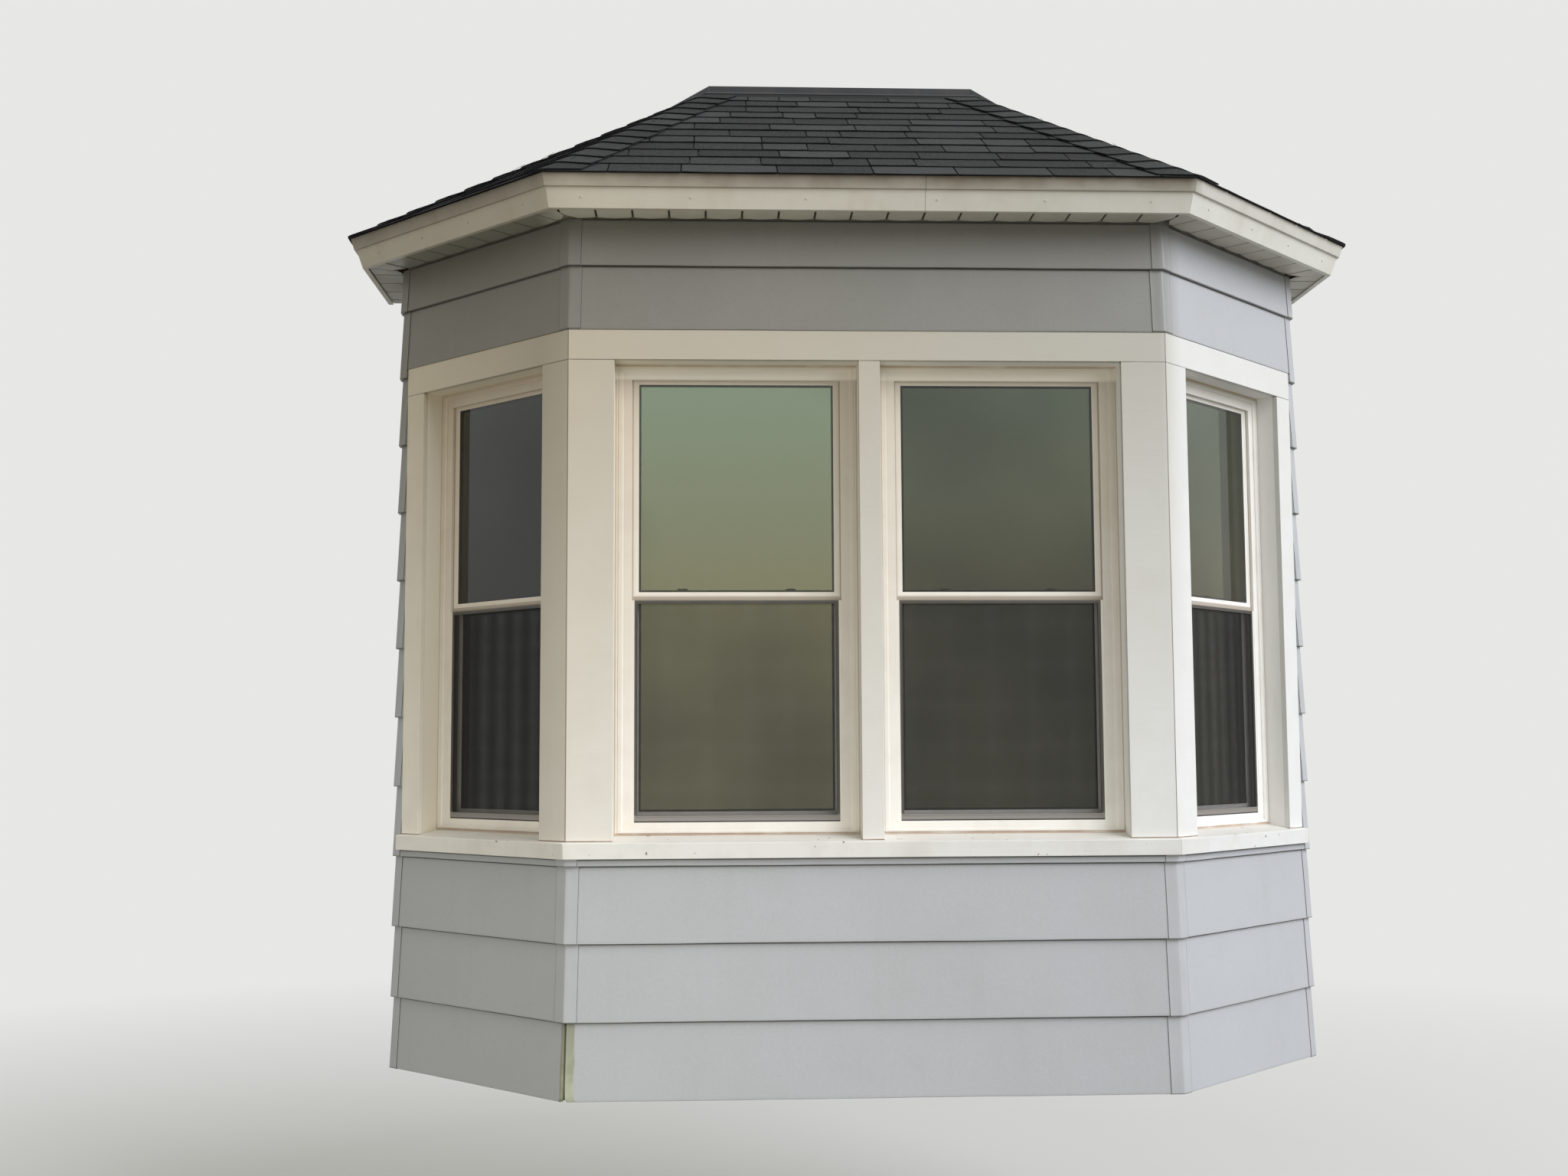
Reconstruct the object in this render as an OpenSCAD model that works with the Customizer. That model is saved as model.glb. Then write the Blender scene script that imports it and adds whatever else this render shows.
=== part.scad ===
// Five-sided bay window that hangs on a house wall: framed floor and walls, four
// double-hung windows, lap siding with metal corner caps, and a hipped shingle roof.
// X runs along the wall, Y points back into the house, Z is up. The wall plane is
// Y = 0, and the origin is the middle of the floor ledger's back face.

/* [Plan] */
// Width of the front facet at the casing face, corner to corner
front_w = 2100; // [1800:50:2600]
// Depth from the house wall to the front casing face
bay_depth = 1190; // [950:10:1350]

/* [Levels] */
// Exposed height of one siding course
course_h = 260; // [180:5:300]
// Height of the sill's underside above the siding's drip edge
sill_rise = 804; // [600:1:1000]
// Height of a window opening, sill to head
open_h = 1650; // [1300:10:1900]
// Height of the siding band between the head casing and the soffit
frieze_h = 394; // [300:1:500]

/* [Floor] */
// Height of a floor joist
joist_h = 235; // [140:5:300]
// Thickness of a joist, rim board or rafter
joist_w = 38; // [30:1:50]
// Spacing of the floor joists, centre to centre
joist_gap = 400; // [300:10:600]
// Thickness of the floor boards with their subfloor
deck_t = 38; // [20:1:50]
// Thickness of the sheet under the joists
underside_t = 12; // [8:1:20]
// Clearance where one framing timber butts against another
butt_gap = 0.3; // [0.2:0.1:0.5]

/* [Walls] */
// Thickness of a framed wall from its outer sheathing to its inner lining
wall_t = 140; // [120:1:180]
// Thickness of the ceiling board
ceiling_t = 16; // [10:1:30]

/* [Siding] */
// Thickness of a siding board at its lower edge
board_t = 12; // [8:0.5:16]
// How far the siding hangs below the underside sheet
drip = 3; // [1:1:20]
// Width of a corner cap's flange on each facet
cap_w = 46; // [30:1:60]
// Clearance between a corner cap's turned-in foot and the cap below
hem_gap = 1; // [0.5:0.1:3]
// Thickness of the corner caps' metal
cap_t = 1.5; // [0.8:0.1:2]

/* [Casing] */
// Thickness of the casing boards
casing_t = 20; // [16:1:30]
// Width of the corner casing on the front facet
corner_casing_w = 160; // [100:1:220]
// Width of the corner casing on the angled facet
side_casing_w = 138; // [80:1:180]
// Width of the outer casing of the angled facet
outer_casing_w = 102; // [60:1:140]
// Width of the casing between the two front windows
mullion_w = 75; // [60:1:120]
// Height of the head casing
head_casing_h = 105; // [70:1:160]
// Open joint where two boards meet at a mitre
mitre_gap = 0.6; // [0.3:0.1:1]

/* [Sill] */
// Height of the sill's front edge
sill_t = 54; // [40:1:70]
// How far the sill stands out from the casing
sill_nose = 20; // [5:1:30]
// Rise of the sill from its front edge to the window frame
sill_fall = 19; // [10:1:30]
// How far the sill runs past the outer casing
sill_horn = 8; // [2:1:20]

/* [Windows] */
// Depth of the window frame behind the casing face
recess = 85; // [60:1:95]
// Width of the stop at the frame's jambs
stop_w = 30; // [20:1:36]
// Height of the stop at the frame's head
head_stop_w = 22; // [15:1:30]
// Height of the stop at the frame's foot
foot_stop_w = 18; // [12:1:26]
// Thickness of the stop
stop_t = 7; // [4:0.5:10]
// Thickness of the frame's face that laps the sashes
face_t = 12; // [8:1:14]
// Width of the frame's face at the jambs, stop included
jamb_w = 60; // [50:1:80]
// Height of the frame's face at the head, stop included
head_w = 54; // [45:1:80]
// Height of the frame's face at the foot
foot_w = 45; // [35:1:70]
// Depth by which the frame laps over a sash's edge
lap_w = 15; // [8:1:18]
// Width of a sash stile
stile_w = 38; // [30:1:60]
// Height of the upper sash's top rail
top_rail_h = 28; // [24:1:50]
// Height of the lower sash's bottom rail
bottom_rail_h = 50; // [36:1:70]
// Height of the two meeting rails
meeting_h = 30; // [20:1:50]
// How far the meeting rails sit above the middle of the opening
meeting_rise = 5; // [0:1:30]
// Thickness of a sash
sash_t = 24; // [18:1:28]
// Thickness of the sealed glass unit
pane_t = 14; // [6:1:17]
// Width of the bead that holds the glass, as a share of its depth
bead_flare = 1.6; // [0.8:0.1:2.4]
// Width of the screen tracks on the jambs
track_w = 9; // [6:1:12]
// How far the screen tracks stand back from the frame's face
track_in = 2; // [1:0.5:4]
// Width of an insect screen's side bars
screen_bar = 10; // [8:1:20]
// Height of the screen frame's bottom bar
screen_foot = 22; // [15:1:32]
// Height of the screen frame's top bar
screen_head = 12; // [8:1:20]
// Thickness of an insect screen's frame
screen_t = 9; // [6:1:10]
// Thickness of the screen's mesh sheet
mesh_t = 1; // [0.6:0.1:2]
// How far the mesh is short of the screen frame's outer edge
mesh_edge = 1; // [0.5:0.1:3]
// Clearance between a sash or screen and its frame
sash_gap = 0.3; // [0.2:0.1:0.5]
// Length of a sash lock
lock_l = 64; // [50:1:80]
// Height of a sash lock
lock_h = 14; // [10:1:20]
// Diameter of a lock's round cam housing
lock_d = 36; // [28:1:44]
// Width of a lock's flat base
lock_base_w = 14; // [10:1:18]
// Thickness of a lock's flat base
lock_base_t = 5.5; // [3:0.5:8]
// Place of a front window's two locks, as a share of the sash width from its middle
lock_place = 0.25; // [0.15:0.05:0.35]

/* [Roof] */
// Slope of every roof plane, in degrees
pitch = 30.3; // [24:0.1:35]
// How far the top of the fascia stands out from the casing face
eave = 186; // [150:1:240]
// Height of the fascia's outer top edge above the soffit
fascia_rise = 105; // [95:1:140]
// Height of the fascia's upper strip
strip_h = 43; // [30:1:60]
// How far the upper strip stands in front of the lower one
strip_step = 9; // [4:1:14]
// How far the fascia leans in from its top to its foot
fascia_lean = 44; // [20:1:50]
// Thickness of the fascia, measured level
fascia_t = 20; // [16:1:26]
// How far the fascia hangs below the soffit
fascia_drop = 6; // [2:1:12]
// How far the fascia's top reaches back past its thickness
fascia_lap = 6; // [3:1:10]
// Gap between the roof boards' lower end and the top of the fascia
deck_back = 6; // [6:1:12]
// Thickness of the soffit
soffit_t = 12; // [8:1:16]
// Spacing of the grooves in the soffit
groove_gap = 127; // [80:1:160]
// Width of a soffit groove
groove_w = 9; // [5:1:14]
// Depth of a soffit groove
groove_d = 4; // [2:0.5:5]
// Thickness of the roof boards
roof_board_t = 16; // [12:1:24]
// Height of a rafter
rafter_h = 89; // [80:1:120]
// Height of the seat cut where a rafter rests on the wall
seat_h = 15; // [8:1:25]
// Place of the outer common rafters, as a share of the ridge's half length
rafter_share = 0.7; // [0.4:0.05:0.8]
// Gap between the rafters' tails and the fascia
tail_gap = 2; // [1:1:4]
// Exposed length of one shingle course
shingle_step = 130.5; // [110:0.5:160]
// Thickness of a shingle course at its lower edge
shingle_t = 8; // [5:0.5:12]
// Thickness of a shingle course where the next one covers it
shingle_thin = 2.8; // [2:0.1:4]
// How far the shingles hang over the fascia
shingle_lip = 12; // [5:1:25]
// Width of a hip cap on each side of the hip
hip_w = 130; // [90:1:160]
// Thickness of a hip cap at its lower edge
hip_t = 6; // [4:0.5:8]
// Thickness of a hip cap where the next one covers it
hip_thin = 2.4; // [1.5:0.1:3.5]
// Exposed length of one hip cap
hip_step = 130; // [100:1:160]
// Width of the flashing on the roof
flash_w = 45; // [30:1:110]
// Height of the flashing on the wall
flash_h = 20; // [15:1:100]
// Thickness of the flashing's metal
flash_t = 1.5; // [1:0.1:3]

/* [Hidden] */

// Colours
siding_color = "#aab0b4";
casing_color = "#e6e2d6";
glass_color = "#5c6a70";
screen_color = "#6f6a62";
vinyl_color = "#e9e4da";
shingle_color = "#3c3d40";
lumber_color = "#c9a777";
plaster_color = "#e8e6e0";

// Plan of a half octagon. The facets are counted -2 to 2 from the left return to
// the right return, and the corners 0 to 5 from the left wall end to the right one.
mitre = tan(22.5);
front_half = front_w / 2;
outer_half = front_half + bay_depth * (1 - mitre);
return_d = bay_depth * mitre;
side_len = (outer_half - front_half) * sqrt(2);
ridge_half = front_half - bay_depth * mitre;
sheath = -casing_t;
inner = sheath - wall_t;
reach = 1.4 * eave;

// Levels, upwards
frame_top = joist_h / 2;
floor_z = frame_top + deck_t;
under_z = -frame_top - underside_t;
drip_z = under_z - drip;
sill_z = drip_z + sill_rise;
open_z = sill_z + sill_t + sill_fall;
head_z = open_z + open_h;
frieze_z = head_z + head_casing_h;
soffit_z = frieze_z + frieze_h;
tall = 2 * soffit_z;

// Siding face, as distances out from the casing face
butt_o = sheath + 2 * board_t;
top_o = sheath + board_t;
course_n = ceil((soffit_z - drip_z) / course_h);

// Window openings
front_open = front_half - corner_casing_w - mullion_w / 2;
side_open = side_len - side_casing_w - outer_casing_w - cap_w;
side_u = side_len / 2 - side_casing_w - side_open / 2;
front_u = (mullion_w + front_open) / 2;
outer_u = side_u - side_open / 2;
inner_u = side_u + side_open / 2;
meeting_z = open_h / 2 + meeting_rise;

// Roof surfaces, as points on a slope measured up from the fascia's top edge
eave_z = soffit_z + fascia_rise;
slope_len = (bay_depth + eave) / cos(pitch);
shingle_n = ceil((slope_len + shingle_lip) / shingle_step);
hip_len = norm(corner(1, eave) - [-ridge_half, 0]);
hip_pitch = atan(tan(pitch) * cos(22.5));
hip_roll = asin(sin(pitch) * sin(22.5));
hip_n = ceil((hip_len / cos(hip_pitch) + 2 * shingle_lip) / hip_step);
fascia_in = eave - fascia_lean - fascia_t;
fascia_top = eave - fascia_t - fascia_lap;
board_drop = roof_board_t / cos(pitch);
frame_drop = board_drop + butt_gap;
rafter_drop = frame_drop + rafter_h / cos(pitch);
plate_z = roof_z(sheath) - rafter_drop + seat_h;
rafter_tail = fascia_in - tail_gap;

function facet_angle(k) = 45 * k;
function facet_mid(k) =
    k == 0 ? [0, -bay_depth] :
    abs(k) == 1 ? [k * (front_half + outer_half) / 2, -(bay_depth + return_d) / 2] :
    [sign(k) * outer_half, -return_d / 2];

// Point on facet k, u along it from its middle and d out from the casing face
function facet_point(k, u, d) = facet_mid(k)
    + u * [cos(facet_angle(k)), sin(facet_angle(k))]
    + d * [sin(facet_angle(k)), -cos(facet_angle(k))];

// Corner i of the plan moved out by d
function corner(i, d) = let (side = i < 3 ? -1 : 1, j = i < 3 ? i : 5 - i)
    j == 0 ? [side * (outer_half + d), 0] :
    j == 1 ? [side * (outer_half + d), -(return_d + d * mitre)] :
    [side * (front_half + d * mitre), -(bay_depth + d)];

function plan(d) = [for (i = [0:5]) corner(i, d)];

// Part of facet k between two distances, mitred at both ends
function strip(k, d0, d1) = [corner(k + 2, d0), corner(k + 3, d0),
    corner(k + 3, d1), corner(k + 2, d1)];

// The ground that belongs to facet k, from the ridge out past the eave
function wedge(k) = k == 0
    ? [[-ridge_half, 0], corner(2, reach), corner(3, reach), [ridge_half, 0]]
    : [[sign(k) * ridge_half, 0], corner(k + 2, reach), corner(k + 3, reach)];

// Height of the roof boards' top at a distance out from the casing face
function roof_z(d) = eave_z + (eave - d) * tan(pitch);

// Point s up the slope and n above the roof boards
function slope_point(s, n) = [eave - s * cos(pitch) + n * sin(pitch),
    eave_z + s * sin(pitch) + n * cos(pitch)];

// Carries a profile (distance out, height) along facet k and mitres its ends
module run(k) {
    intersection() {
        translate([facet_mid(k)[0], facet_mid(k)[1], 0])
            rotate([90, 0, 90 + facet_angle(k)])
                linear_extrude(front_w * 2, center = true)
                    mirror([1, 0]) children();
        translate([0, 0, -tall / 2])
            linear_extrude(2 * tall)
                polygon(wedge(k));
    }
}

// A plan shape drawn up between two levels
module prism(points, z0, z1) {
    translate([0, 0, z0])
        linear_extrude(z1 - z0)
            polygon(points);
}

// Thin upright slabs on the mitre planes, which part the boards at the corners
module mitre_cuts(corners) {
    for (i = corners) {
        side = i < 3 ? -1 : 1;
        end = corner(i, reach) - [side * ridge_half, 0];
        translate([side * ridge_half, 0, -tall / 2])
            rotate([0, 0, atan2(end[1], end[0])])
                translate([0, -mitre_gap / 2, 0])
                    cube([norm(end), mitre_gap, 2 * tall]);
    }
}

// Places a shape at window i, with its origin at the opening's foot on the casing face
module at_window(i) {
    k = [0, 0, -1, 1][i];
    u = [-front_u, front_u, side_u, -side_u][i];
    p = facet_point(k, u, 0);
    translate([p[0], p[1], open_z])
        rotate([0, 0, facet_angle(k)])
            children();
}

function open_w(i) = i < 2 ? front_open : side_open;

// Upright ring of width w and height h from depth y0 to y1
module ring(w, h, side, foot, head, y0, y1) {
    difference() {
        translate([-w / 2, y0, 0])
            cube([w, y1 - y0, h]);
        translate([-w / 2 + side, y0 - 1, foot])
            cube([w - 2 * side, y1 - y0 + 2, h - foot - head]);
    }
}

// Floor
module floor_frame() {
    rim_in = sheath - joist_w;
    bay_half = outer_half + rim_in - butt_gap;
    joist_n = floor((bay_half - joist_w - joist_w / 2) / joist_gap);
    color(lumber_color) {
        // Rim boards, mitred at the corners
        difference() {
            union() {
                for (k = [-2:2])
                    prism(strip(k, sheath, rim_in), -frame_top, frame_top);
            }
            mitre_cuts([1:4]);
        }
        // Ledger on the house wall
        translate([-bay_half, -joist_w, -frame_top])
            cube([2 * bay_half, joist_w, joist_h]);
        // Joists from the ledger to the rim boards
        intersection() {
            prism(concat([[-bay_half, -joist_w - butt_gap]],
                [for (i = [1:4]) corner(i, rim_in - butt_gap)],
                [[bay_half, -joist_w - butt_gap]]), -frame_top, frame_top);
            union() {
                for (n = [-joist_n : joist_n])
                    translate([n * joist_gap - joist_w / 2, -bay_depth, -frame_top])
                        cube([joist_w, bay_depth, joist_h]);
            }
        }
    }
}

module floor_deck() {
    color(lumber_color)
        prism(plan(sheath), frame_top, floor_z);
}

module floor_underside() {
    color(plaster_color)
        prism(plan(sheath), under_z, -frame_top);
}

// Walls
module knee_wall_front() {
    color(plaster_color)
        prism(strip(0, sheath, inner), floor_z, sill_z);
}

// Plan of the angled wall from the outer edge of its window to the front corner
function side_strip() = [facet_point(-1, outer_u, sheath), corner(2, sheath),
    corner(2, inner), facet_point(-1, outer_u, inner)];

module knee_wall_left() {
    color(plaster_color)
        prism(side_strip(), floor_z, sill_z);
}

module post_left() {
    color(plaster_color)
        prism([corner(2, sheath), facet_point(0, corner_casing_w - front_half, sheath),
            facet_point(0, corner_casing_w - front_half, inner), corner(2, inner),
            facet_point(-1, inner_u, inner), facet_point(-1, inner_u, sheath)],
            sill_z, head_z);
}

module post_middle() {
    color(plaster_color)
        translate([-mullion_w / 2, -bay_depth - sheath, sill_z])
            cube([mullion_w, wall_t, head_z - sill_z]);
}

module head_wall_front() {
    color(plaster_color)
        prism(strip(0, sheath, inner), head_z, plate_z);
}

module head_wall_left() {
    color(plaster_color)
        prism(side_strip(), head_z, plate_z);
}

module return_wall_left() {
    color(plaster_color)
        prism([corner(0, sheath), corner(1, sheath), facet_point(-1, outer_u, sheath),
            facet_point(-1, outer_u, inner), corner(1, inner), corner(0, inner)],
            floor_z, plate_z);
}

module ceiling() {
    color(plaster_color)
        prism(plan(inner), soffit_z, soffit_z + ceiling_t);
}

// Roof
// A layer of the roof between two depths below the boards' top, out to distance d
module roof_layer(k, drop0, drop1, d) {
    run(k)
        polygon([[d, roof_z(d) - drop0], [-bay_depth, roof_z(-bay_depth) - drop0],
            [-bay_depth, roof_z(-bay_depth) - drop1], [d, roof_z(d) - drop1]]);
}

// Side view of a rafter with its seat over the wall. Level lengths are stretched by
// 1 for a common rafter and by 1 / cos(22.5) for a hip rafter, which is also lowered.
module rafter_outline(stretch, lower) {
    seat = (seat_h + lower) / tan(pitch);
    points = [[rafter_tail, roof_z(rafter_tail) - frame_drop - lower],
        [rafter_tail, max(roof_z(rafter_tail) - rafter_drop - lower, soffit_z + soffit_t)],
        [sheath, roof_z(sheath) - rafter_drop - lower], [sheath, plate_z],
        [sheath - seat, plate_z],
        [-bay_depth, roof_z(-bay_depth) - rafter_drop - lower],
        [-bay_depth, roof_z(-bay_depth) - frame_drop - lower]];
    polygon([for (p = points) [(p[0] + bay_depth) * stretch, p[1]]]);
}

// A rafter that runs out from a point on the wall and stops at the wall ledger
module rafter(x, angle, stretch, lower) {
    intersection() {
        translate([x, 0, 0])
            rotate([90, 0, angle])
                linear_extrude(joist_w, center = true)
                    rafter_outline(stretch, lower);
        translate([-2 * outer_half, -2 * outer_half, 0])
            cube([4 * outer_half, 2 * outer_half - joist_w, 2 * tall]);
    }
}

// The ledger on the wall follows the roof's outline and is bevelled under the boards
module wall_ledger() {
    seat = seat_h / tan(pitch);
    tail_x = outer_half + rafter_tail;
    half = [[tail_x, roof_z(rafter_tail) - frame_drop],
        [tail_x, max(roof_z(rafter_tail) - rafter_drop, soffit_z + soffit_t)],
        [outer_half + sheath, roof_z(sheath) - rafter_drop],
        [outer_half + sheath, plate_z], [outer_half + sheath - seat, plate_z],
        [ridge_half, roof_z(-bay_depth) - rafter_drop]];
    top = [ridge_half, roof_z(-bay_depth) - frame_drop];
    difference() {
        rotate([90, 0, 0])
            linear_extrude(joist_w)
                polygon(concat([top], half,
                    [for (i = [len(half) - 1 : -1 : 0]) [-half[i][0], half[i][1]]],
                    [[-top[0], top[1]]]));
        for (k = [-1:1])
            roof_layer(k, -joist_w, frame_drop, 4 * joist_w - bay_depth);
    }
}

module roof_frame() {
    hip_drop = joist_w / 2 * sin(22.5) * tan(pitch) + mitre_gap;
    hip_stretch = 1 / cos(22.5);
    color(lumber_color)
        union() {
            wall_ledger();
            for (x = [-1:1])
                rafter(x * ridge_half * rafter_share, -90, 1, 0);
            for (side = [-1, 1], angle = [22.5, 67.5])
                rafter(side * ridge_half, -90 + side * angle, hip_stretch, hip_drop);
        }
}

// One deck of boards for each roof plane, parted along the hips
module roof_boards() {
    color(lumber_color)
        difference() {
            union() {
                for (k = [-2:2])
                    roof_layer(k, 0, board_drop, fascia_top - deck_back);
            }
            mitre_cuts([1:4]);
        }
}

// Overlapping courses: each is thick at its lower edge and thins towards the next
module shingle_courses(k) {
    run(k)
        polygon(concat([slope_point(-shingle_lip, 0)],
            [for (n = [0 : shingle_n - 1], end = [0, 1])
                slope_point(-shingle_lip + (n + end) * shingle_step,
                    end == 0 ? shingle_t : shingle_thin)],
            [slope_point(-shingle_lip + shingle_n * shingle_step, 0)]));
}

module shingles_front() {
    color(shingle_color)
        shingle_courses(0);
}

module shingles_left() {
    color(shingle_color)
        difference() {
            union() {
                shingle_courses(-1);
                shingle_courses(-2);
            }
            mitre_cuts([1]);
        }
}

// The ground on one side of the angled facet's middle line, where hip i runs
module hip_ground(i) {
    side = i < 3 ? -1 : 1;
    lean = i == 1 || i == 4 ? mitre_gap : -mitre_gap;
    foot = facet_point(side, side * lean, 2 * reach);
    head = [side * ridge_half + side * lean, 0];
    far = 3 * outer_half;
    prism(i == 1 || i == 4 ? [head, foot, [side * far, -far], [side * far, 0]]
        : [head, foot, [foot[0], -far], [0, -far], [0, 0]], 0, 2 * tall);
}

// One side of the caps on hip i: lapped steps carried along the hip on the slope of
// facet i - 3 (side 1) or i - 2 (side 0)
module hip_side(i, side) {
    foot = corner(i, eave);
    way = [(i < 3 ? -1 : 1) * ridge_half, 0] - foot;
    high = shingle_t + hip_t;
    intersection() {
        translate([foot[0], foot[1], eave_z])
            rotate([0, -hip_pitch, atan2(way[1], way[0])])
                mirror([0, side, 0])
                    rotate([90 + hip_roll, 0, 0])
                        translate([0, 0, -high])
                            linear_extrude(hip_w + high)
                                polygon(concat([[-2 * shingle_lip, shingle_t]],
                                    [for (n = [0 : hip_n - 1], end = [0, 1])
                                        [-2 * shingle_lip + (n + end) * hip_step,
                                            shingle_t + (end == 0 ? hip_t : hip_thin)]],
                                    [[-2 * shingle_lip + hip_n * hip_step,
                                        shingle_t]]));
        prism(wedge(i - 2 - side), 0, 2 * tall);
        prism(plan(eave + shingle_lip), 0, 2 * tall);
        hip_ground(i);
    }
}

module hip_caps() {
    color(shingle_color)
        for (i = [1:4])
            union() {
                hip_side(i, 0);
                hip_side(i, 1);
            }
}

module flashing() {
    low = shingle_t + hip_t;
    color(shingle_color)
        union() {
            intersection() {
                union() {
                    for (k = [-2, 0, 2])
                        run(k)
                            polygon([slope_point(0, low), slope_point(slope_len * 2, low),
                                slope_point(slope_len * 2, low + flash_t),
                                slope_point(0, low + flash_t)]);
                }
                translate([-2 * outer_half, -flash_w, 0])
                    cube([4 * outer_half, flash_w, 2 * tall]);
            }
            intersection() {
                translate([-2 * outer_half, -flash_t, 0])
                    cube([4 * outer_half, flash_t, 2 * tall]);
                union() {
                    for (k = [-2, 0, 2])
                        run(k)
                            polygon([slope_point(0, low), slope_point(slope_len * 2, low),
                                slope_point(slope_len * 2, low + flash_h),
                                slope_point(0, low + flash_h)]);
                }
            }
        }
}

// Fascia: a leaning board with a narrower strip along its upper edge
module fascia_profile() {
    foot = eave - fascia_lean;
    lean = fascia_lean / (fascia_rise + fascia_drop);
    mid_z = eave_z - strip_h;
    polygon([[eave, eave_z],
        [eave - lean * strip_h + strip_step * 0.5, mid_z],
        [eave - lean * strip_h - strip_step * 0.5, mid_z],
        [foot, soffit_z - fascia_drop],
        [foot - fascia_t, soffit_z - fascia_drop],
        [fascia_top, roof_z(fascia_top)]]);
}

module fascia() {
    color(casing_color)
        difference() {
            union() {
                for (k = [-2:2])
                    run(k) fascia_profile();
            }
            mitre_cuts([1:4]);
        }
}

// Soffit board of facet k, grooved square to the wall
module soffit_board(k) {
    groove_n = ceil(front_w / groove_gap);
    top_z = soffit_z + soffit_t;
    half = (groove_n + 1) * groove_gap;
    intersection() {
        translate([facet_mid(k)[0], facet_mid(k)[1], 0])
            rotate([90, 0, facet_angle(k)])
                translate([0, 0, sheath])
                    linear_extrude(fascia_in - sheath)
                        polygon(concat([[half, soffit_z], [half, top_z], [-half, top_z],
                            [-half, soffit_z]],
                            [for (n = [-groove_n : groove_n], end = [-1:1])
                                [(n + 0.5) * groove_gap + end * groove_w / 2,
                                    soffit_z + (end == 0 ? groove_d : 0)]]));
        prism(wedge(k), 0, tall);
    }
}

module soffit() {
    color(casing_color)
        difference() {
            union() {
                for (k = [-2:2])
                    soffit_board(k);
            }
            mitre_cuts([1:4]);
        }
}

// Casing
module head_casing() {
    end_u = outer_u - outer_casing_w;
    color(casing_color)
        difference() {
            prism([facet_point(-1, end_u, 0), corner(2, 0), corner(3, 0),
                facet_point(1, -end_u, 0), facet_point(1, -end_u, sheath),
                corner(3, sheath), corner(2, sheath), facet_point(-1, end_u, sheath)],
                head_z, frieze_z);
            mitre_cuts([2, 3]);
        }
}

// Upright casing board on facet k between two places along it, its foot bevelled to
// the sill's slope
module casing_board(k, u0, u1) {
    past = bay_depth / 2;
    intersection() {
        run(k)
            polygon([[0, sill_top(0)], [0, head_z], [sheath, head_z],
                [sheath, sill_top(sheath)]]);
        prism([facet_point(k, u0, -past), facet_point(k, u1, -past),
            facet_point(k, u1, past), facet_point(k, u0, past)], 0, tall);
    }
}

module corner_casing_left() {
    color(casing_color)
        difference() {
            union() {
                casing_board(0, -front_w, corner_casing_w - front_half);
                casing_board(-1, inner_u, side_len);
            }
            mitre_cuts([2]);
        }
}

module middle_casing() {
    color(casing_color)
        casing_board(0, -mullion_w / 2, mullion_w / 2);
}

module outer_casings() {
    color(casing_color) {
        casing_board(-1, outer_u - outer_casing_w, outer_u);
        casing_board(1, -outer_u, outer_casing_w - outer_u);
    }
}

// Sill
function sill_top(d) = sill_z + sill_t
    + sill_fall * (sill_nose - d) / (sill_nose + recess);

// The sill in front of the sheathing, round the three window facets
module sill_nose_run() {
    end_u = outer_u - outer_casing_w - sill_horn;
    past = 4 * reach;
    difference() {
        union() {
            for (k = [-1:1])
                run(k)
                    polygon([[sill_nose, sill_z], [sill_nose, sill_top(sill_nose)],
                        [sheath, sill_top(sheath)], [sheath, sill_z]]);
        }
        for (side = [0, 1])
            mirror([side, 0, 0])
                prism([facet_point(-1, end_u, -past), facet_point(-1, end_u, past),
                    facet_point(-1, -side_len, past), facet_point(-1, -side_len, -past)],
                    -tall, tall);
    }
}

module sill() {
    color(casing_color)
        difference() {
            union() {
                sill_nose_run();
                for (i = [0:3])
                    at_window(i)
                        translate([0, 0, -open_z])
                            rotate([90, 0, 90])
                                linear_extrude(open_w(i), center = true)
                                    polygon([[-sheath, sill_z], [-sheath, sill_top(sheath)],
                                        [recess, open_z], [-inner, open_z],
                                        [-inner, sill_z]]);
            }
            mitre_cuts([2, 3]);
        }
}

// Siding
module siding_profile(z0, z1) {
    intersection() {
        polygon(concat([[sheath, drip_z]],
            [for (n = [0 : course_n - 1], end = [0, 1])
                [end == 0 ? butt_o : top_o, drip_z + (n + end) * course_h]],
            [[sheath, drip_z + course_n * course_h]]));
        translate([sheath, z0])
            square([3 * board_t, z1 - z0]);
    }
}

module siding_front() {
    color(siding_color)
        union() {
            run(0) siding_profile(drip_z, sill_z);
            run(0) siding_profile(frieze_z, soffit_z);
        }
}

// The ground of the angled facet from one place along it towards the front corner
function past_u(u) = [facet_point(-1, u, -side_len), facet_point(-1, u, side_len),
    facet_point(-1, side_len, side_len), facet_point(-1, side_len, -side_len)];

module siding_left() {
    end_u = outer_u - outer_casing_w;
    color(siding_color)
        difference() {
            run(-1) siding_profile(drip_z, soffit_z);
            prism(past_u(end_u), sill_z, frieze_z);
            prism(past_u(end_u - sill_horn), sill_z, sill_top(sheath));
        }
}

module siding_return_left() {
    color(siding_color)
        run(-2) siding_profile(drip_z, soffit_z);
}

// Corner caps: one folded metal cap over each course's corner, turned in under the
// board's foot until it is close to the cap below
module cap_profile(n, z0, z1) {
    za = drip_z + n * course_h;
    zb = za + course_h;
    tuck = top_o + cap_t + hem_gap;
    intersection() {
        polygon([[tuck, za - cap_t], [butt_o + cap_t, za - cap_t], [butt_o + cap_t, za],
            [top_o + cap_t, zb], [top_o, zb], [butt_o, za], [tuck, za]]);
        translate([sheath, z0 - 2 * cap_t])
            square([4 * board_t, z1 - z0 + 2 * cap_t]);
    }
}

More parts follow.
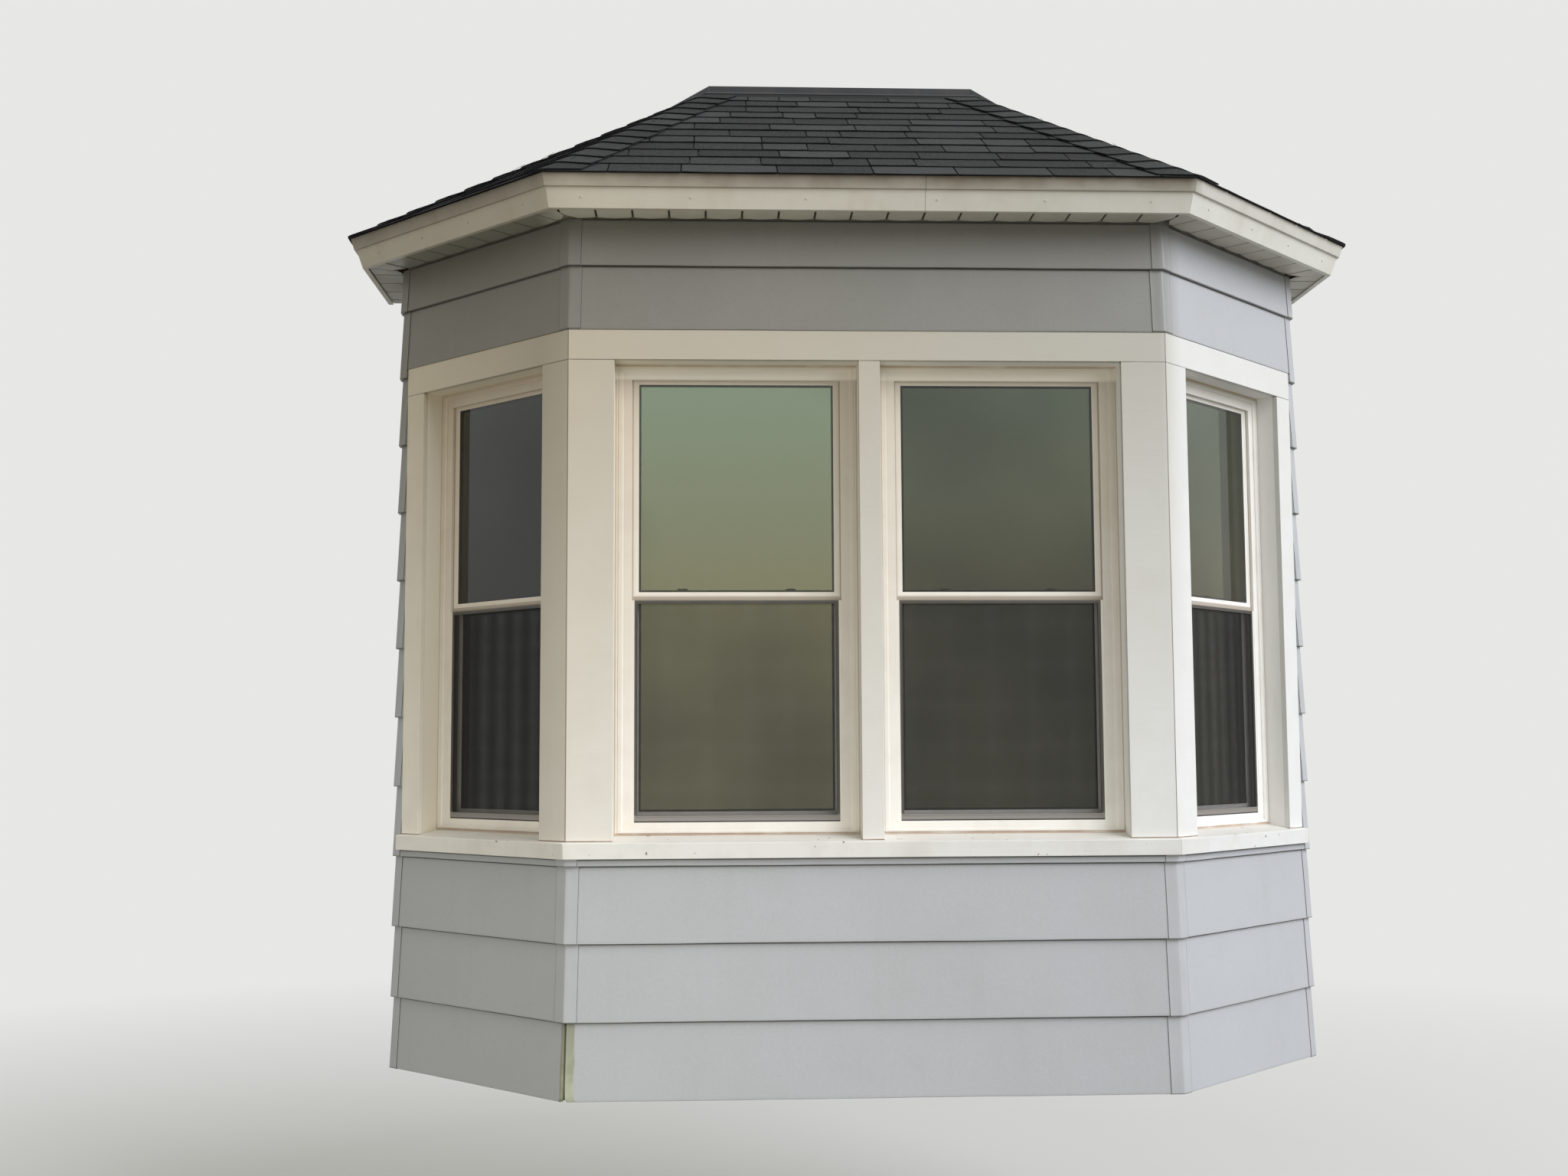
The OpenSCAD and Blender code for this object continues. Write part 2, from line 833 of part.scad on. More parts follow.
module cap(i, n, z0, z1) {
    ka = i - 3;
    kb = i - 2;
    half_a = norm(corner(i, 0) - corner(i - 1, 0)) / 2;
    half_b = norm(corner(i + 1, 0) - corner(i, 0)) / 2;
    out = 2 * board_t;
    intersection() {
        union() {
            run(ka) cap_profile(n, z0, z1);
            run(kb) cap_profile(n, z0, z1);
        }
        prism([facet_point(ka, half_a - cap_w, -out), facet_point(ka, half_a - cap_w, out),
            corner(i, out), facet_point(kb, cap_w - half_b, out),
            facet_point(kb, cap_w - half_b, -out), corner(i, -out)], -tall, tall);
    }
}

module corner_caps() {
    under_sill = floor((sill_z - drip_z) / course_h);
    over_head = floor((frieze_z - drip_z) / course_h);
    color(siding_color)
        difference() {
            union() {
                for (i = [1, 4], n = [0 : course_n - 1])
                    cap(i, n, drip_z, soffit_z);
                // The lowest cap of the front left corner is lost
                for (i = [2, 3], n = [i == 2 ? 1 : 0 : under_sill])
                    cap(i, n, drip_z, sill_z);
                for (i = [2, 3], n = [over_head : course_n - 1])
                    cap(i, n, max(frieze_z, drip_z + n * course_h) + 2 * cap_t, soffit_z);
            }
            sill_nose_run();
        }
}

// Windows
// A frame is an outer stop, a face that laps the sashes, a deep box inside the wall and
// a track on each jamb for the screen
module window_frame(i) {
    w = open_w(i);
    face_y = recess + stop_t;
    color(vinyl_color)
        at_window(i)
            union() {
                ring(w, open_h, stop_w, foot_stop_w, head_stop_w, recess, face_y);
                ring(w, open_h, jamb_w, foot_w, head_w, face_y, face_y + face_t);
                ring(w, open_h, jamb_w - lap_w, foot_w - lap_w, head_w - lap_w,
                    face_y + face_t, -inner);
                for (side = [0, 1])
                    mirror([side, 0, 0])
                        translate([w / 2 - jamb_w - track_w, face_y + track_in, foot_w])
                            cube([track_w, face_t - track_in, upper_z0 - foot_w]);
            }
}

function sash_w(i) = open_w(i) - 2 * (jamb_w - lap_w) - 2 * sash_gap;

// Depths of the two sash planes behind the casing face
upper_y = recess + stop_t + face_t + sash_gap;
lower_y = upper_y + sash_t + sash_gap;

// A sash ring whose outer glazing bead slopes down to the glass on all four sides
module sash(i, z0, z1, y0, foot, head) {
    w = sash_w(i) - 2 * stile_w;
    z_mid = (foot + z1 - z0 - head) / 2;
    h = z1 - z0 - foot - head;
    bead = (sash_t - pane_t) / 2;
    translate([0, 0, z0])
        difference() {
            ring(sash_w(i), z1 - z0, stile_w, foot, head, y0, y0 + sash_t);
            translate([0, y0, z_mid])
                intersection() {
                    linear_extrude(h + 4 * bead, center = true)
                        bead_taper(w, bead);
                    rotate([0, 90, 0])
                        linear_extrude(w + 4 * bead, center = true)
                            bead_taper(h, bead);
                }
        }
}

// Outline of the bead's opening: its full width at the glass and wider at the face
module bead_taper(w, bead) {
    wide = w / 2 + bead * bead_flare;
    polygon([[-wide, 0], [wide, 0], [w / 2, bead], [-w / 2, bead]]);
}

upper_z0 = meeting_z - meeting_h / 2;
upper_z1 = open_h - head_w + lap_w - sash_gap;
lower_z0 = foot_w - lap_w + sash_gap;
lower_z1 = meeting_z + meeting_h / 2;

module upper_sash(i) {
    color(vinyl_color)
        at_window(i)
            sash(i, upper_z0, upper_z1, upper_y, meeting_h, top_rail_h);
}

module lower_sash(i) {
    color(vinyl_color)
        at_window(i)
            sash(i, lower_z0, lower_z1, lower_y, bottom_rail_h, meeting_h);
}

module panes() {
    pane_in = (sash_t - pane_t) / 2;
    color(glass_color)
        for (i = [0:3])
            at_window(i) {
                w = sash_w(i) - 2 * stile_w;
                translate([-w / 2, upper_y + pane_in, upper_z0 + meeting_h])
                    cube([w, pane_t, upper_z1 - upper_z0 - meeting_h - top_rail_h]);
                translate([-w / 2, lower_y + pane_in, lower_z0 + bottom_rail_h])
                    cube([w, pane_t, lower_z1 - lower_z0 - meeting_h - bottom_rail_h]);
            }
}

// A screen stands between the tracks on the jambs, in front of the lower sash
module screens() {
    color(screen_color)
        for (i = [0:3])
            at_window(i) {
                w = open_w(i) - 2 * (jamb_w + track_w + sash_gap);
                h = upper_z0 - foot_w - 2 * sash_gap;
                y = upper_y - screen_t - sash_gap;
                translate([0, 0, foot_w + sash_gap]) {
                    ring(w, h, screen_bar, screen_foot, screen_head, y, y + screen_t);
                    translate([-w / 2 + mesh_edge, y + (screen_t - mesh_t) / 2, mesh_edge])
                        cube([w - 2 * mesh_edge, mesh_t, h - 2 * mesh_edge]);
                }
            }
}

// A lock is a round cam housing on a flat base, on top of the lower sash
module locks() {
    color(vinyl_color)
        for (i = [0:3])
            at_window(i)
                for (x = (i < 2 ? [-lock_place, lock_place] : [0]) * sash_w(i))
                    translate([x, lower_y + sash_t / 2, lower_z1]) {
                        intersection() {
                            cylinder(h = lock_h, d = lock_d, $fn = 40);
                            translate([-lock_l / 2, -sash_t / 2, 0])
                                cube([lock_l, sash_t, lock_h]);
                        }
                        translate([-lock_l / 2, -lock_base_w / 2, 0])
                            cube([lock_l, lock_base_w, lock_base_t]);
                    }
}

floor_frame();
floor_deck();
floor_underside();
knee_wall_front();
knee_wall_left();
mirror([1, 0, 0]) knee_wall_left();  // knee_wall_right
post_left();
mirror([1, 0, 0]) post_left();  // post_right
post_middle();
head_wall_front();
head_wall_left();
mirror([1, 0, 0]) head_wall_left();  // head_wall_right
return_wall_left();
mirror([1, 0, 0]) return_wall_left();  // return_wall_right
ceiling();
roof_frame();
roof_boards();
shingles_front();
shingles_left();
mirror([1, 0, 0]) shingles_left();  // shingles_right
hip_caps();
flashing();
fascia();
soffit();
head_casing();
corner_casing_left();
mirror([1, 0, 0]) corner_casing_left();  // corner_casing_right
middle_casing();
outer_casings();
sill();
siding_front();
siding_left();
mirror([1, 0, 0]) siding_left();  // siding_right
siding_return_left();
mirror([1, 0, 0]) siding_return_left();  // siding_return_right
corner_caps();
window_frame(0);  // frame_front_left
window_frame(1);  // frame_front_right
window_frame(2);  // frame_left
window_frame(3);  // frame_right
upper_sash(0);  // upper_sash_front_left
upper_sash(1);  // upper_sash_front_right
upper_sash(2);  // upper_sash_left
upper_sash(3);  // upper_sash_right
lower_sash(0);  // lower_sash_front_left
lower_sash(1);  // lower_sash_front_right
lower_sash(2);  // lower_sash_left
lower_sash(3);  // lower_sash_right
panes();
screens();
locks();
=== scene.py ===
import math

import bmesh
import bpy
import numpy as np
from mathutils import Matrix, Vector


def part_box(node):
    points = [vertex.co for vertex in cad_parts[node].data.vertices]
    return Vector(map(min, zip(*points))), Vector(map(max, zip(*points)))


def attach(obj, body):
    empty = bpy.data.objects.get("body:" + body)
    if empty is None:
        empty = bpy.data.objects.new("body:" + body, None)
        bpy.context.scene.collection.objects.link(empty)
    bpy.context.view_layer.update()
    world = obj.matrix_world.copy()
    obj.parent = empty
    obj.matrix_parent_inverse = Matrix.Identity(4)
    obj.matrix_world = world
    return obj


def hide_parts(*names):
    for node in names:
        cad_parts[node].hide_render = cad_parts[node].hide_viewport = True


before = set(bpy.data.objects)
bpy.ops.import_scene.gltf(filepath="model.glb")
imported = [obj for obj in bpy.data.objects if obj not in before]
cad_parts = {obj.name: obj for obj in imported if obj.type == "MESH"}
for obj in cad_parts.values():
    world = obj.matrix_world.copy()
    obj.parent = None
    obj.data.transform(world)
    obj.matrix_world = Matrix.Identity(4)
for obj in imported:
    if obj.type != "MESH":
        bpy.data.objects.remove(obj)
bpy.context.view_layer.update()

# Camera
# It stands left of the middle on the ground, a little over seven metres out, and looks
# slightly up, with a 40 mm lens on a 36 mm sensor.
def placed(name, data):
    """A new object with this data, linked to the scene."""
    made = bpy.data.objects.new(name, data)
    bpy.context.scene.collection.objects.link(made)
    return made


camera_yaw, camera_pitch, camera_roll = 0.0443, 0.0911, -0.005
camera_data = bpy.data.cameras.new("camera")
camera_data.sensor_fit = "HORIZONTAL"
camera_data.sensor_width = 36.0
camera_data.lens = 40.0
camera_data.clip_end = 200.0
camera = placed("camera", camera_data)
ahead = Vector((math.sin(camera_yaw) * math.cos(camera_pitch),
                math.cos(camera_yaw) * math.cos(camera_pitch), math.sin(camera_pitch)))
level = Vector((math.cos(camera_yaw), -math.sin(camera_yaw), 0.0))
upward = level.cross(ahead)
right = math.cos(camera_roll) * level + math.sin(camera_roll) * upward
up = math.cos(camera_roll) * upward - math.sin(camera_roll) * level
camera.matrix_world = Matrix((right, up, -ahead)).transposed().to_4x4()
camera.location = (-0.5678, -7.1755, 1.0466)
bpy.context.scene.camera = camera


# Floor framing, roof framing and roof boards
# Sawn softwood joists, rim boards, ledgers and rafters, nailed together, with boards
# over the rafters. They show from behind and under the roof, so they stay the frame's
# own solids with a bare timber finish.
def node(tree, kind, inputs=None, **settings):
    """Adds a shader node. Each input is a plain value or the socket that feeds it."""
    made = tree.nodes.new("ShaderNode" + kind)
    for key, value in settings.items():
        setattr(made, key, value)
    for key, value in (inputs or {}).items():
        if isinstance(value, bpy.types.NodeSocket):
            tree.links.new(value, made.inputs[key])
        else:
            made.inputs[key].default_value = value
    return made


def here(tree):
    """Object coordinates, which are the part's own metres."""
    return node(tree, "TexCoord").outputs["Object"]


def axis(tree, letter):
    """One of the part's own coordinates: X along the wall, Y inwards or Z up."""
    return node(tree, "SeparateXYZ", {"Vector": here(tree)}).outputs[letter]


def stretched(tree, where, scale, turn=0.0):
    """Coordinates multiplied by a scale for each axis after a turn about Z."""
    return node(tree, "Mapping", {"Vector": where, "Rotation": (0, 0, turn),
                                  "Scale": scale}).outputs[0]


def blend(tree, factor, first, second):
    """Colour output of a mix of two colours, each a plain value or a socket."""
    return node(tree, "Mix", {0: factor, 6: first, 7: second},
                data_type="RGBA").outputs[2]


def dimmed(tree, value, colour):
    """Colour output of a colour whose brightness is multiplied by a value."""
    return node(tree, "HueSaturation", {"Value": value, "Color": colour}).outputs[0]


def maths(tree, operation, first, second=0.0, clamp=False):
    """Value output of a math node with two inputs."""
    return node(tree, "Math", {0: first, 1: second}, operation=operation,
                use_clamp=clamp).outputs[0]


def spread(tree, value, low, high, out_low=0.0, out_high=1.0):
    """Value output that goes from out_low to out_high while value goes low to high."""
    made = node(tree, "MapRange", {0: value, 1: low, 2: high, 3: out_low, 4: out_high})
    return made.outputs[0]


def noise(tree, where, scale, detail=3.0, rough=0.5):
    """Value output of a noise texture."""
    made = node(tree, "TexNoise", {"Vector": where, "Scale": scale, "Detail": detail,
                                   "Roughness": rough})
    return made.outputs["Fac"]


def effect(name, inputs, outputs):
    """An empty shader group with named sockets, and its input and output nodes."""
    tree = bpy.data.node_groups.new(name, "ShaderNodeTree")
    kinds = {"value": "NodeSocketFloat", "colour": "NodeSocketColor",
             "vector": "NodeSocketVector"}
    for label, kind, start in inputs:
        socket = tree.interface.new_socket(label, in_out="INPUT", socket_type=kinds[kind])
        socket.default_value = start
    for label, kind in outputs:
        tree.interface.new_socket(label, in_out="OUTPUT", socket_type=kinds[kind])
    entry = tree.nodes.new("NodeGroupInput")
    leave = tree.nodes.new("NodeGroupOutput")
    return tree, entry.outputs, leave.inputs


def use(tree, group, inputs):
    """Places a shader group in a material's tree and gives its outputs."""
    return node(tree, "Group", inputs, node_tree=group).outputs


def new_finish(name, **values):
    """A material with one Principled shader. Plain values go on its own sockets."""
    material = bpy.data.materials.new(name)
    material.use_nodes = True
    shader = material.node_tree.nodes["Principled BSDF"]
    for key, value in values.items():
        shader.inputs[key.replace("_", " ")].default_value = value
    return material, material.node_tree, shader


def lay_colour(tree, shader, colour):
    """Feeds a colour to the shader's base colour."""
    tree.links.new(colour, shader.inputs["Base Color"])


def relief(tree, shader, height, distance):
    """Feeds a height to the shader's normal through a bump node."""
    bump = node(tree, "Bump", {"Height": height, "Distance": distance})
    tree.links.new(bump.outputs["Normal"], shader.inputs["Normal"])


def coat(material, *names):
    """Puts one material on the frame's own solids."""
    for name in names:
        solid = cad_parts[name]
        solid.data.materials.clear()
        solid.data.materials.append(material)


softwood, given, wanted = effect(
    "softwood grain",
    [("Vector", "vector", (0, 0, 0)), ("Early Wood", "colour", (0.56, 0.42, 0.26, 1)),
     ("Late Wood", "colour", (0.36, 0.22, 0.11, 1))],
    [("Colour", "colour"), ("Height", "value")])
rings = node(softwood, "TexWave", {"Vector": given["Vector"], "Scale": 4.0,
                                   "Distortion": 5.0, "Detail": 2.0},
             wave_type="BANDS", bands_direction="Y").outputs["Fac"]
ring_mask = spread(softwood, rings, 0.35, 0.95, 0.0, 0.7)
ringed = blend(softwood, ring_mask, given["Early Wood"], given["Late Wood"])
drift = spread(softwood, noise(softwood, given["Vector"], 1.6, 2.0), 0.35, 0.7, 0.0, 0.45)
drifted = blend(softwood, drift, ringed, (0.63, 0.52, 0.38, 1))
fibre = noise(softwood, given["Vector"], 24.0, 4.0)
fibrous = blend(softwood, spread(softwood, fibre, 0.3, 0.75, 0.0, 0.25), drifted,
                (0.24, 0.16, 0.09, 1))
softwood.links.new(fibrous, wanted["Colour"])
softwood.links.new(maths(softwood, "ADD", ring_mask, fibre), wanted["Height"])

lumber, tree, shader = new_finish("bare softwood", Roughness=0.78)
grain_scale, ledger_t = (1.2, 30, 22), 0.038
grain_way = node(tree, "Mix", {
    0: maths(tree, "GREATER_THAN", axis(tree, "Y"), -ledger_t),
    4: stretched(tree, here(tree), grain_scale, math.pi / 2),
    5: stretched(tree, here(tree), grain_scale)}, data_type="VECTOR").outputs[1]
grain = use(tree, softwood, {"Vector": grain_way})
lay_colour(tree, shader, grain["Colour"])
relief(tree, shader, grain["Height"], 0.0006)
coat(lumber, "floor_frame", "roof_frame", "roof_boards")


# Floor boards on a plywood subfloor
# Tongued hardwood strips of random lengths run along the wall over the subfloor and
# are nailed to the joists. The walls stand on them.
half_front, bay_depth = 1.05, 1.19
mitre = math.tan(math.pi / 8)
half_outer = half_front + bay_depth * (1 - mitre)
return_d = bay_depth * mitre
side_len = (half_outer - half_front) * math.sqrt(2)
half_len = {0: half_front, 1: side_len / 2, 2: return_d / 2}
sheath_d = -0.020


def facet_ways(k):
    """Unit vectors in plan along facet k, to the right from outside, and out of it."""
    turn = k * math.pi / 4
    return (np.array([math.cos(turn), math.sin(turn)]),
            np.array([math.sin(turn), -math.cos(turn)]))


def on_facet(k, u, d, z):
    """Points of facet k: u along it from its middle, d out from the casing face and z
    up. The facet's middle moves by u times its direction plus d times its outward
    normal."""
    side = 1 if k > 0 else -1
    middle = {0: (0.0, -bay_depth),
              1: (side * (half_front + half_outer) / 2, -(bay_depth + return_d) / 2),
              2: (side * half_outer, -return_d / 2)}[abs(k)]
    along, out = facet_ways(k)
    u, d, z = np.broadcast_arrays(*(np.asarray(a, float) for a in (u, d, z)))
    plan = middle + u[..., None] * along + d[..., None] * out
    return np.concatenate([plan, z[..., None]], -1)


def facet_end(k, side, d):
    """Place along facet k of its end at distance d: a mitre that grows with d at a
    corner, and a fixed place at the wall."""
    at_the_wall = abs(k) == 2 and side == np.sign(k)
    d = np.asarray(d, float)
    return side * (half_len[abs(k)] + (0.0 if at_the_wall else mitre) * d)


def plan_corner(i, d):
    """Corner i of the plan, counted from the left wall end, moved out by d."""
    k = min(i, 4) - 2
    side = -1 if i < 5 else 1
    return on_facet(k, facet_end(k, side, d), d, 0.0)[..., :2]


def grid_faces(rows, cols, wrap_rows=False, wrap_cols=False):
    """Quads between neighbouring points of a grid, joined end to end where wrapped."""
    index = np.arange(rows * cols).reshape(rows, cols)
    if wrap_rows:
        index = np.concatenate([index, index[:1]], 0)
    if wrap_cols:
        index = np.concatenate([index, index[:, :1]], 1)
    quads = [index[:-1, :-1], index[1:, :-1], index[1:, 1:], index[:-1, 1:]]
    return np.stack(quads, -1).reshape(-1, 4)


def outward(points, faces):
    """Turns a closed part's faces so that the volume they enclose is positive."""
    total = 0.0
    for size in {len(face) for face in faces}:
        same = points[np.array([face for face in faces if len(face) == size])]
        for j in range(1, size - 1):
            total += np.einsum("ij,ij->", same[:, 0], np.cross(same[:, j], same[:, j + 1]))
    return faces if total > 0 else [face[::-1] for face in faces]


def shell(outer, inner):
    """A closed sheet between two grids of points: both faces and a wall round the rim."""
    rows, cols = outer.shape[:2]
    count = rows * cols
    index = np.arange(count).reshape(rows, cols)
    front = grid_faces(rows, cols)
    rim = np.concatenate([index[0], index[1:, -1], index[-1, -2::-1], index[-2:0:-1, 0]])
    after = np.roll(rim, -1)
    wall = np.stack([rim, after, after + count, rim + count], -1)
    faces = np.concatenate([front, front[:, ::-1] + count, wall]).tolist()
    points = np.concatenate([outer.reshape(-1, 3), inner.reshape(-1, 3)])
    return points, outward(points, faces)


def bar(grid):
    """A closed profile carried along a path: one row of points for each place on the
    path, with a flat face over both ends."""
    rows, cols = grid.shape[:2]
    faces = grid_faces(rows, cols, wrap_cols=True).tolist()
    faces.append(list(range(cols)))
    faces.append(list(range((rows - 1) * cols, rows * cols))[::-1])
    points = grid.reshape(-1, 3)
    return points, outward(points, faces)


def hoop(grid):
    """A closed profile carried round a closed path."""
    rows, cols = grid.shape[:2]
    points = grid.reshape(-1, 3)
    return points, outward(points, grid_faces(rows, cols, True, True).tolist())


def make_piece(name, parts, material, marks=None, sharp=30):
    """One object at the origin from closed parts of (points, faces). Each mark is a
    named value for every point, or one number for each part."""
    counts = [len(points) for points, _ in parts]
    starts = np.concatenate([[0], np.cumsum(counts)[:-1]])
    points = np.concatenate([points for points, _ in parts])
    faces = [[corner + int(start) for corner in face]
             for start, (_, faces) in zip(starts, parts) for face in faces]
    mesh = bpy.data.meshes.new(name)
    mesh.from_pydata(points.tolist(), [], faces)
    for label, values in (marks or {}).items():
        if len(values) == len(parts):
            values = np.repeat(np.asarray(values, float), counts)
        mesh.attributes.new(label, "FLOAT", "POINT").data.foreach_set(
            "value", np.asarray(values, np.float32))
    mesh.polygons.foreach_set("use_smooth", np.ones(len(mesh.polygons), bool))
    mesh.set_sharp_from_angle(angle=math.radians(sharp))
    mesh.materials.append(material)
    mesh.update()
    return placed(name, mesh)


def settle(piece, slot, *nodes):
    """The piece moves with the part and stands for its nodes; its slot is not used."""
    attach(piece, "root")
    if nodes:
        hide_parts(*nodes)
    return piece


def point_mark(tree, label):
    """Value output of a mark that a piece carries on its points."""
    return node(tree, "Attribute", attribute_name=label).outputs["Fac"]


def floor_strip(left, stop, near, far):
    """A closed box whose upper edges are eased by a small chamfer: the same rectangle
    at the foot and below the chamfer, and a smaller one on top."""
    rows = [[(left + e, near + e, z), (stop - e, near + e, z), (stop - e, far - e, z),
             (left + e, far - e, z)]
            for z, e in ((floor_low.z + subfloor_t, 0.0), (floor_high.z - strip_ease, 0.0),
                         (floor_high.z, strip_ease))]
    return bar(np.array(rows, float))


floor_low, floor_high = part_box("floor_deck")
strip_w, strip_gap, strip_ease, subfloor_t = 0.083, 0.0006, 0.0012, 0.019
shortest_strip, longest_strip, least_scrap = 0.6, 1.5, 0.05
chance = np.random.default_rng(11)
floor_parts, floor_tones = [], []
for n in range(math.ceil(-floor_low.y / strip_w)):
    far = -n * strip_w
    near = max(far - strip_w, floor_low.y)
    reach = half_outer + sheath_d - max(0.0, -near - return_d + mitre * sheath_d)
    x = -reach - chance.uniform(0.0, shortest_strip)
    while x < reach:
        end = x + chance.uniform(shortest_strip, longest_strip)
        left, stop = max(x, -reach), min(end, reach)
        if stop - left > least_scrap:
            floor_parts.append(floor_strip(left + strip_gap, stop - strip_gap,
                                           near + strip_gap, far - strip_gap))
            floor_tones.append(chance.uniform())
        x = end
rim_points = np.array([plan_corner(i, sheath_d - 0.001) for i in range(6)])
floor_parts.append(bar(np.array([np.column_stack([rim_points, np.full(6, z)])
                                 for z in (floor_low.z, floor_low.z + subfloor_t)])))
floor_tones.append(0.5)

floor_finish, tree, shader = new_finish("varnished floor strips", Roughness=0.38)
tone = point_mark(tree, "tone")
shift = node(tree, "CombineXYZ", {"X": maths(tree, "MULTIPLY", tone, 9.0)}).outputs[0]
moved = node(tree, "VectorMath", {0: here(tree), 1: shift}, operation="ADD").outputs[0]
grain = use(tree, softwood, {"Vector": stretched(tree, moved, (1.4, 26, 26)),
                             "Early Wood": (0.40, 0.25, 0.12, 1),
                             "Late Wood": (0.24, 0.13, 0.055, 1)})
lay_colour(tree, shader, dimmed(tree, spread(tree, tone, 0.0, 1.0, 0.82, 1.1),
                                grain["Colour"]))
relief(tree, shader, grain["Height"], 0.0002)
settle(make_piece("floor_boards", floor_parts, floor_finish, {"tone": floor_tones}),
       "lumber", "floor_deck")


# Underside sheet
# Exterior plywood nailed under the joists and painted. The paint has weathered to a
# dull, blotchy grey.
weather, given, wanted = effect(
    "weathered paint",
    [("Paint", "colour", (0.6, 0.6, 0.6, 1)), ("Dirt", "colour", (0.3, 0.25, 0.18, 1)),
     ("Amount", "value", 0.3), ("Patch Size", "value", 1.0), ("Runs", "value", 0.3)],
    [("Colour", "colour"), ("Dirt Mask", "value")])
place = here(weather)
cloud = noise(weather, place, maths(weather, "DIVIDE", 2.2, given["Patch Size"]), 5.0, 0.6)
drips = stretched(weather, place, (18, 18, 0.9))
run_mask = spread(weather, noise(weather, drips, 1.0), 0.55, 0.8)
specks = spread(weather, noise(weather, place, 160.0, 2.0), 0.66, 0.8, 0.0, 0.5)
soiled = maths(weather, "ADD", spread(weather, cloud, 0.42, 0.75),
               maths(weather, "MULTIPLY", run_mask, given["Runs"]))
dirt_mask = maths(weather, "MULTIPLY", maths(weather, "ADD", soiled, specks),
                  given["Amount"], clamp=True)
weather.links.new(blend(weather, dirt_mask, given["Paint"], given["Dirt"]),
                  wanted["Colour"])
weather.links.new(dirt_mask, wanted["Dirt Mask"])


def age(tree, paint, dirt, amount, patch_size, runs):
    """Outputs of weathered paint: dirt in patches of a size in metres and in runs."""
    return use(tree, weather, {"Paint": paint, "Dirt": dirt, "Amount": amount,
                               "Patch Size": patch_size, "Runs": runs})


underside, tree, shader = new_finish("weathered underside paint", Roughness=0.8)
aged = age(tree, (0.50, 0.48, 0.43, 1), (0.3, 0.25, 0.18, 1), 0.7, 0.8, 0.0)
lay_colour(tree, shader, aged["Colour"])
ply = stretched(tree, here(tree), (2, 60, 20))
relief(tree, shader, noise(tree, ply, 1.0, 4.0), 0.0008)
coat(underside, "floor_underside")


# Walls and ceiling inside
# Studs with sheathing outside and plaster inside. The plaster is painted cream and
# carries the faint stipple of a roller; it turns paler and whiter toward the right as
# painted light.
plaster, tree, shader = new_finish("painted plaster", Roughness=0.82)
cream_and_side_light = blend(tree, spread(tree, axis(tree, "X"), -1.1, 1.1), (0.78, 0.72, 0.58, 1),
              (0.88, 0.875, 0.85, 1))
aged = age(tree, cream_and_side_light, (0.52, 0.46, 0.34, 1), 0.12, 1.6, 0.2)
lay_colour(tree, shader, aged["Colour"])
swell = maths(tree, "MULTIPLY", noise(tree, here(tree), 9.0, 2.0), 2.0)
relief(tree, shader, maths(tree, "ADD", noise(tree, here(tree), 260.0, 2.0), swell),
       0.0002)
coat(plaster, "knee_wall_front", "knee_wall_left", "knee_wall_right", "post_left",
     "post_right", "post_middle", "head_wall_front", "head_wall_left",
     "head_wall_right", "return_wall_left", "return_wall_right", "ceiling")


# Asphalt shingles
# Mineral-faced strips nailed in courses of 130 mm, cut in tabs of random width. Each
# course lies on the one below, so its lower edge stands up, and the bare asphalt of
# the cut shows there as a black line.
roof_pitch = math.radians(30.3)
eave_d, eave_z, wall_gap = 0.186, 2.9985, 0.0015
shingle_step, shingle_lip, tab_gap = 0.1305, 0.009, 0.004
course_rise, tab_t, tab_top_t, tab_end_t = 0.0072, 0.0042, 0.0029, 0.0012
tab_ragged, tab_curl, tab_double, tab_edge = 0.009, 0.0018, 0.0014, 0.0025
tab_widths, least_tab = [0.13, 0.165, 0.21, 0.25, 0.29, 0.33], 0.012
slope_len = (bay_depth + eave_d) / math.cos(roof_pitch)
course_count = math.ceil((slope_len + shingle_lip) / shingle_step)


def on_slope(k, u, s, n):
    """Points of roof plane k: u along the eave, s up the slope from the fascia's top
    edge and n above the boards. The slope's own axes turn by the pitch into distance
    out and height."""
    s, n = np.asarray(s, float), np.asarray(n, float)
    d = eave_d - s * math.cos(roof_pitch) + n * math.sin(roof_pitch)
    z = eave_z + s * math.sin(roof_pitch) + n * math.cos(roof_pitch)
    return on_facet(k, u, d, z)


def before_wall(points):
    """Keeps a grid of points on this side of the house wall."""
    points[..., 1] = np.minimum(points[..., 1], -wall_gap)
    return points


def ripple(seed, x, size, length):
    """A smooth wander along x: three sine waves of unlike length and random start."""
    start = np.random.default_rng(seed).uniform(0, 2 * math.pi, 3)
    waves = [np.sin(2 * math.pi * x / (length * f) + start[j]) / (j + 1.5)
             for j, f in enumerate((1.0, 0.43, 0.19))]
    return size * sum(waves)


def cut_edges(shape):
    """Marks for both faces of a shingle: 1 on its lower edge and its ends, else 0."""
    cut = np.zeros(shape)
    cut[0] = 1.0
    cut[:, [0, -1]] = 1.0
    return np.tile(cut.ravel(), 2)


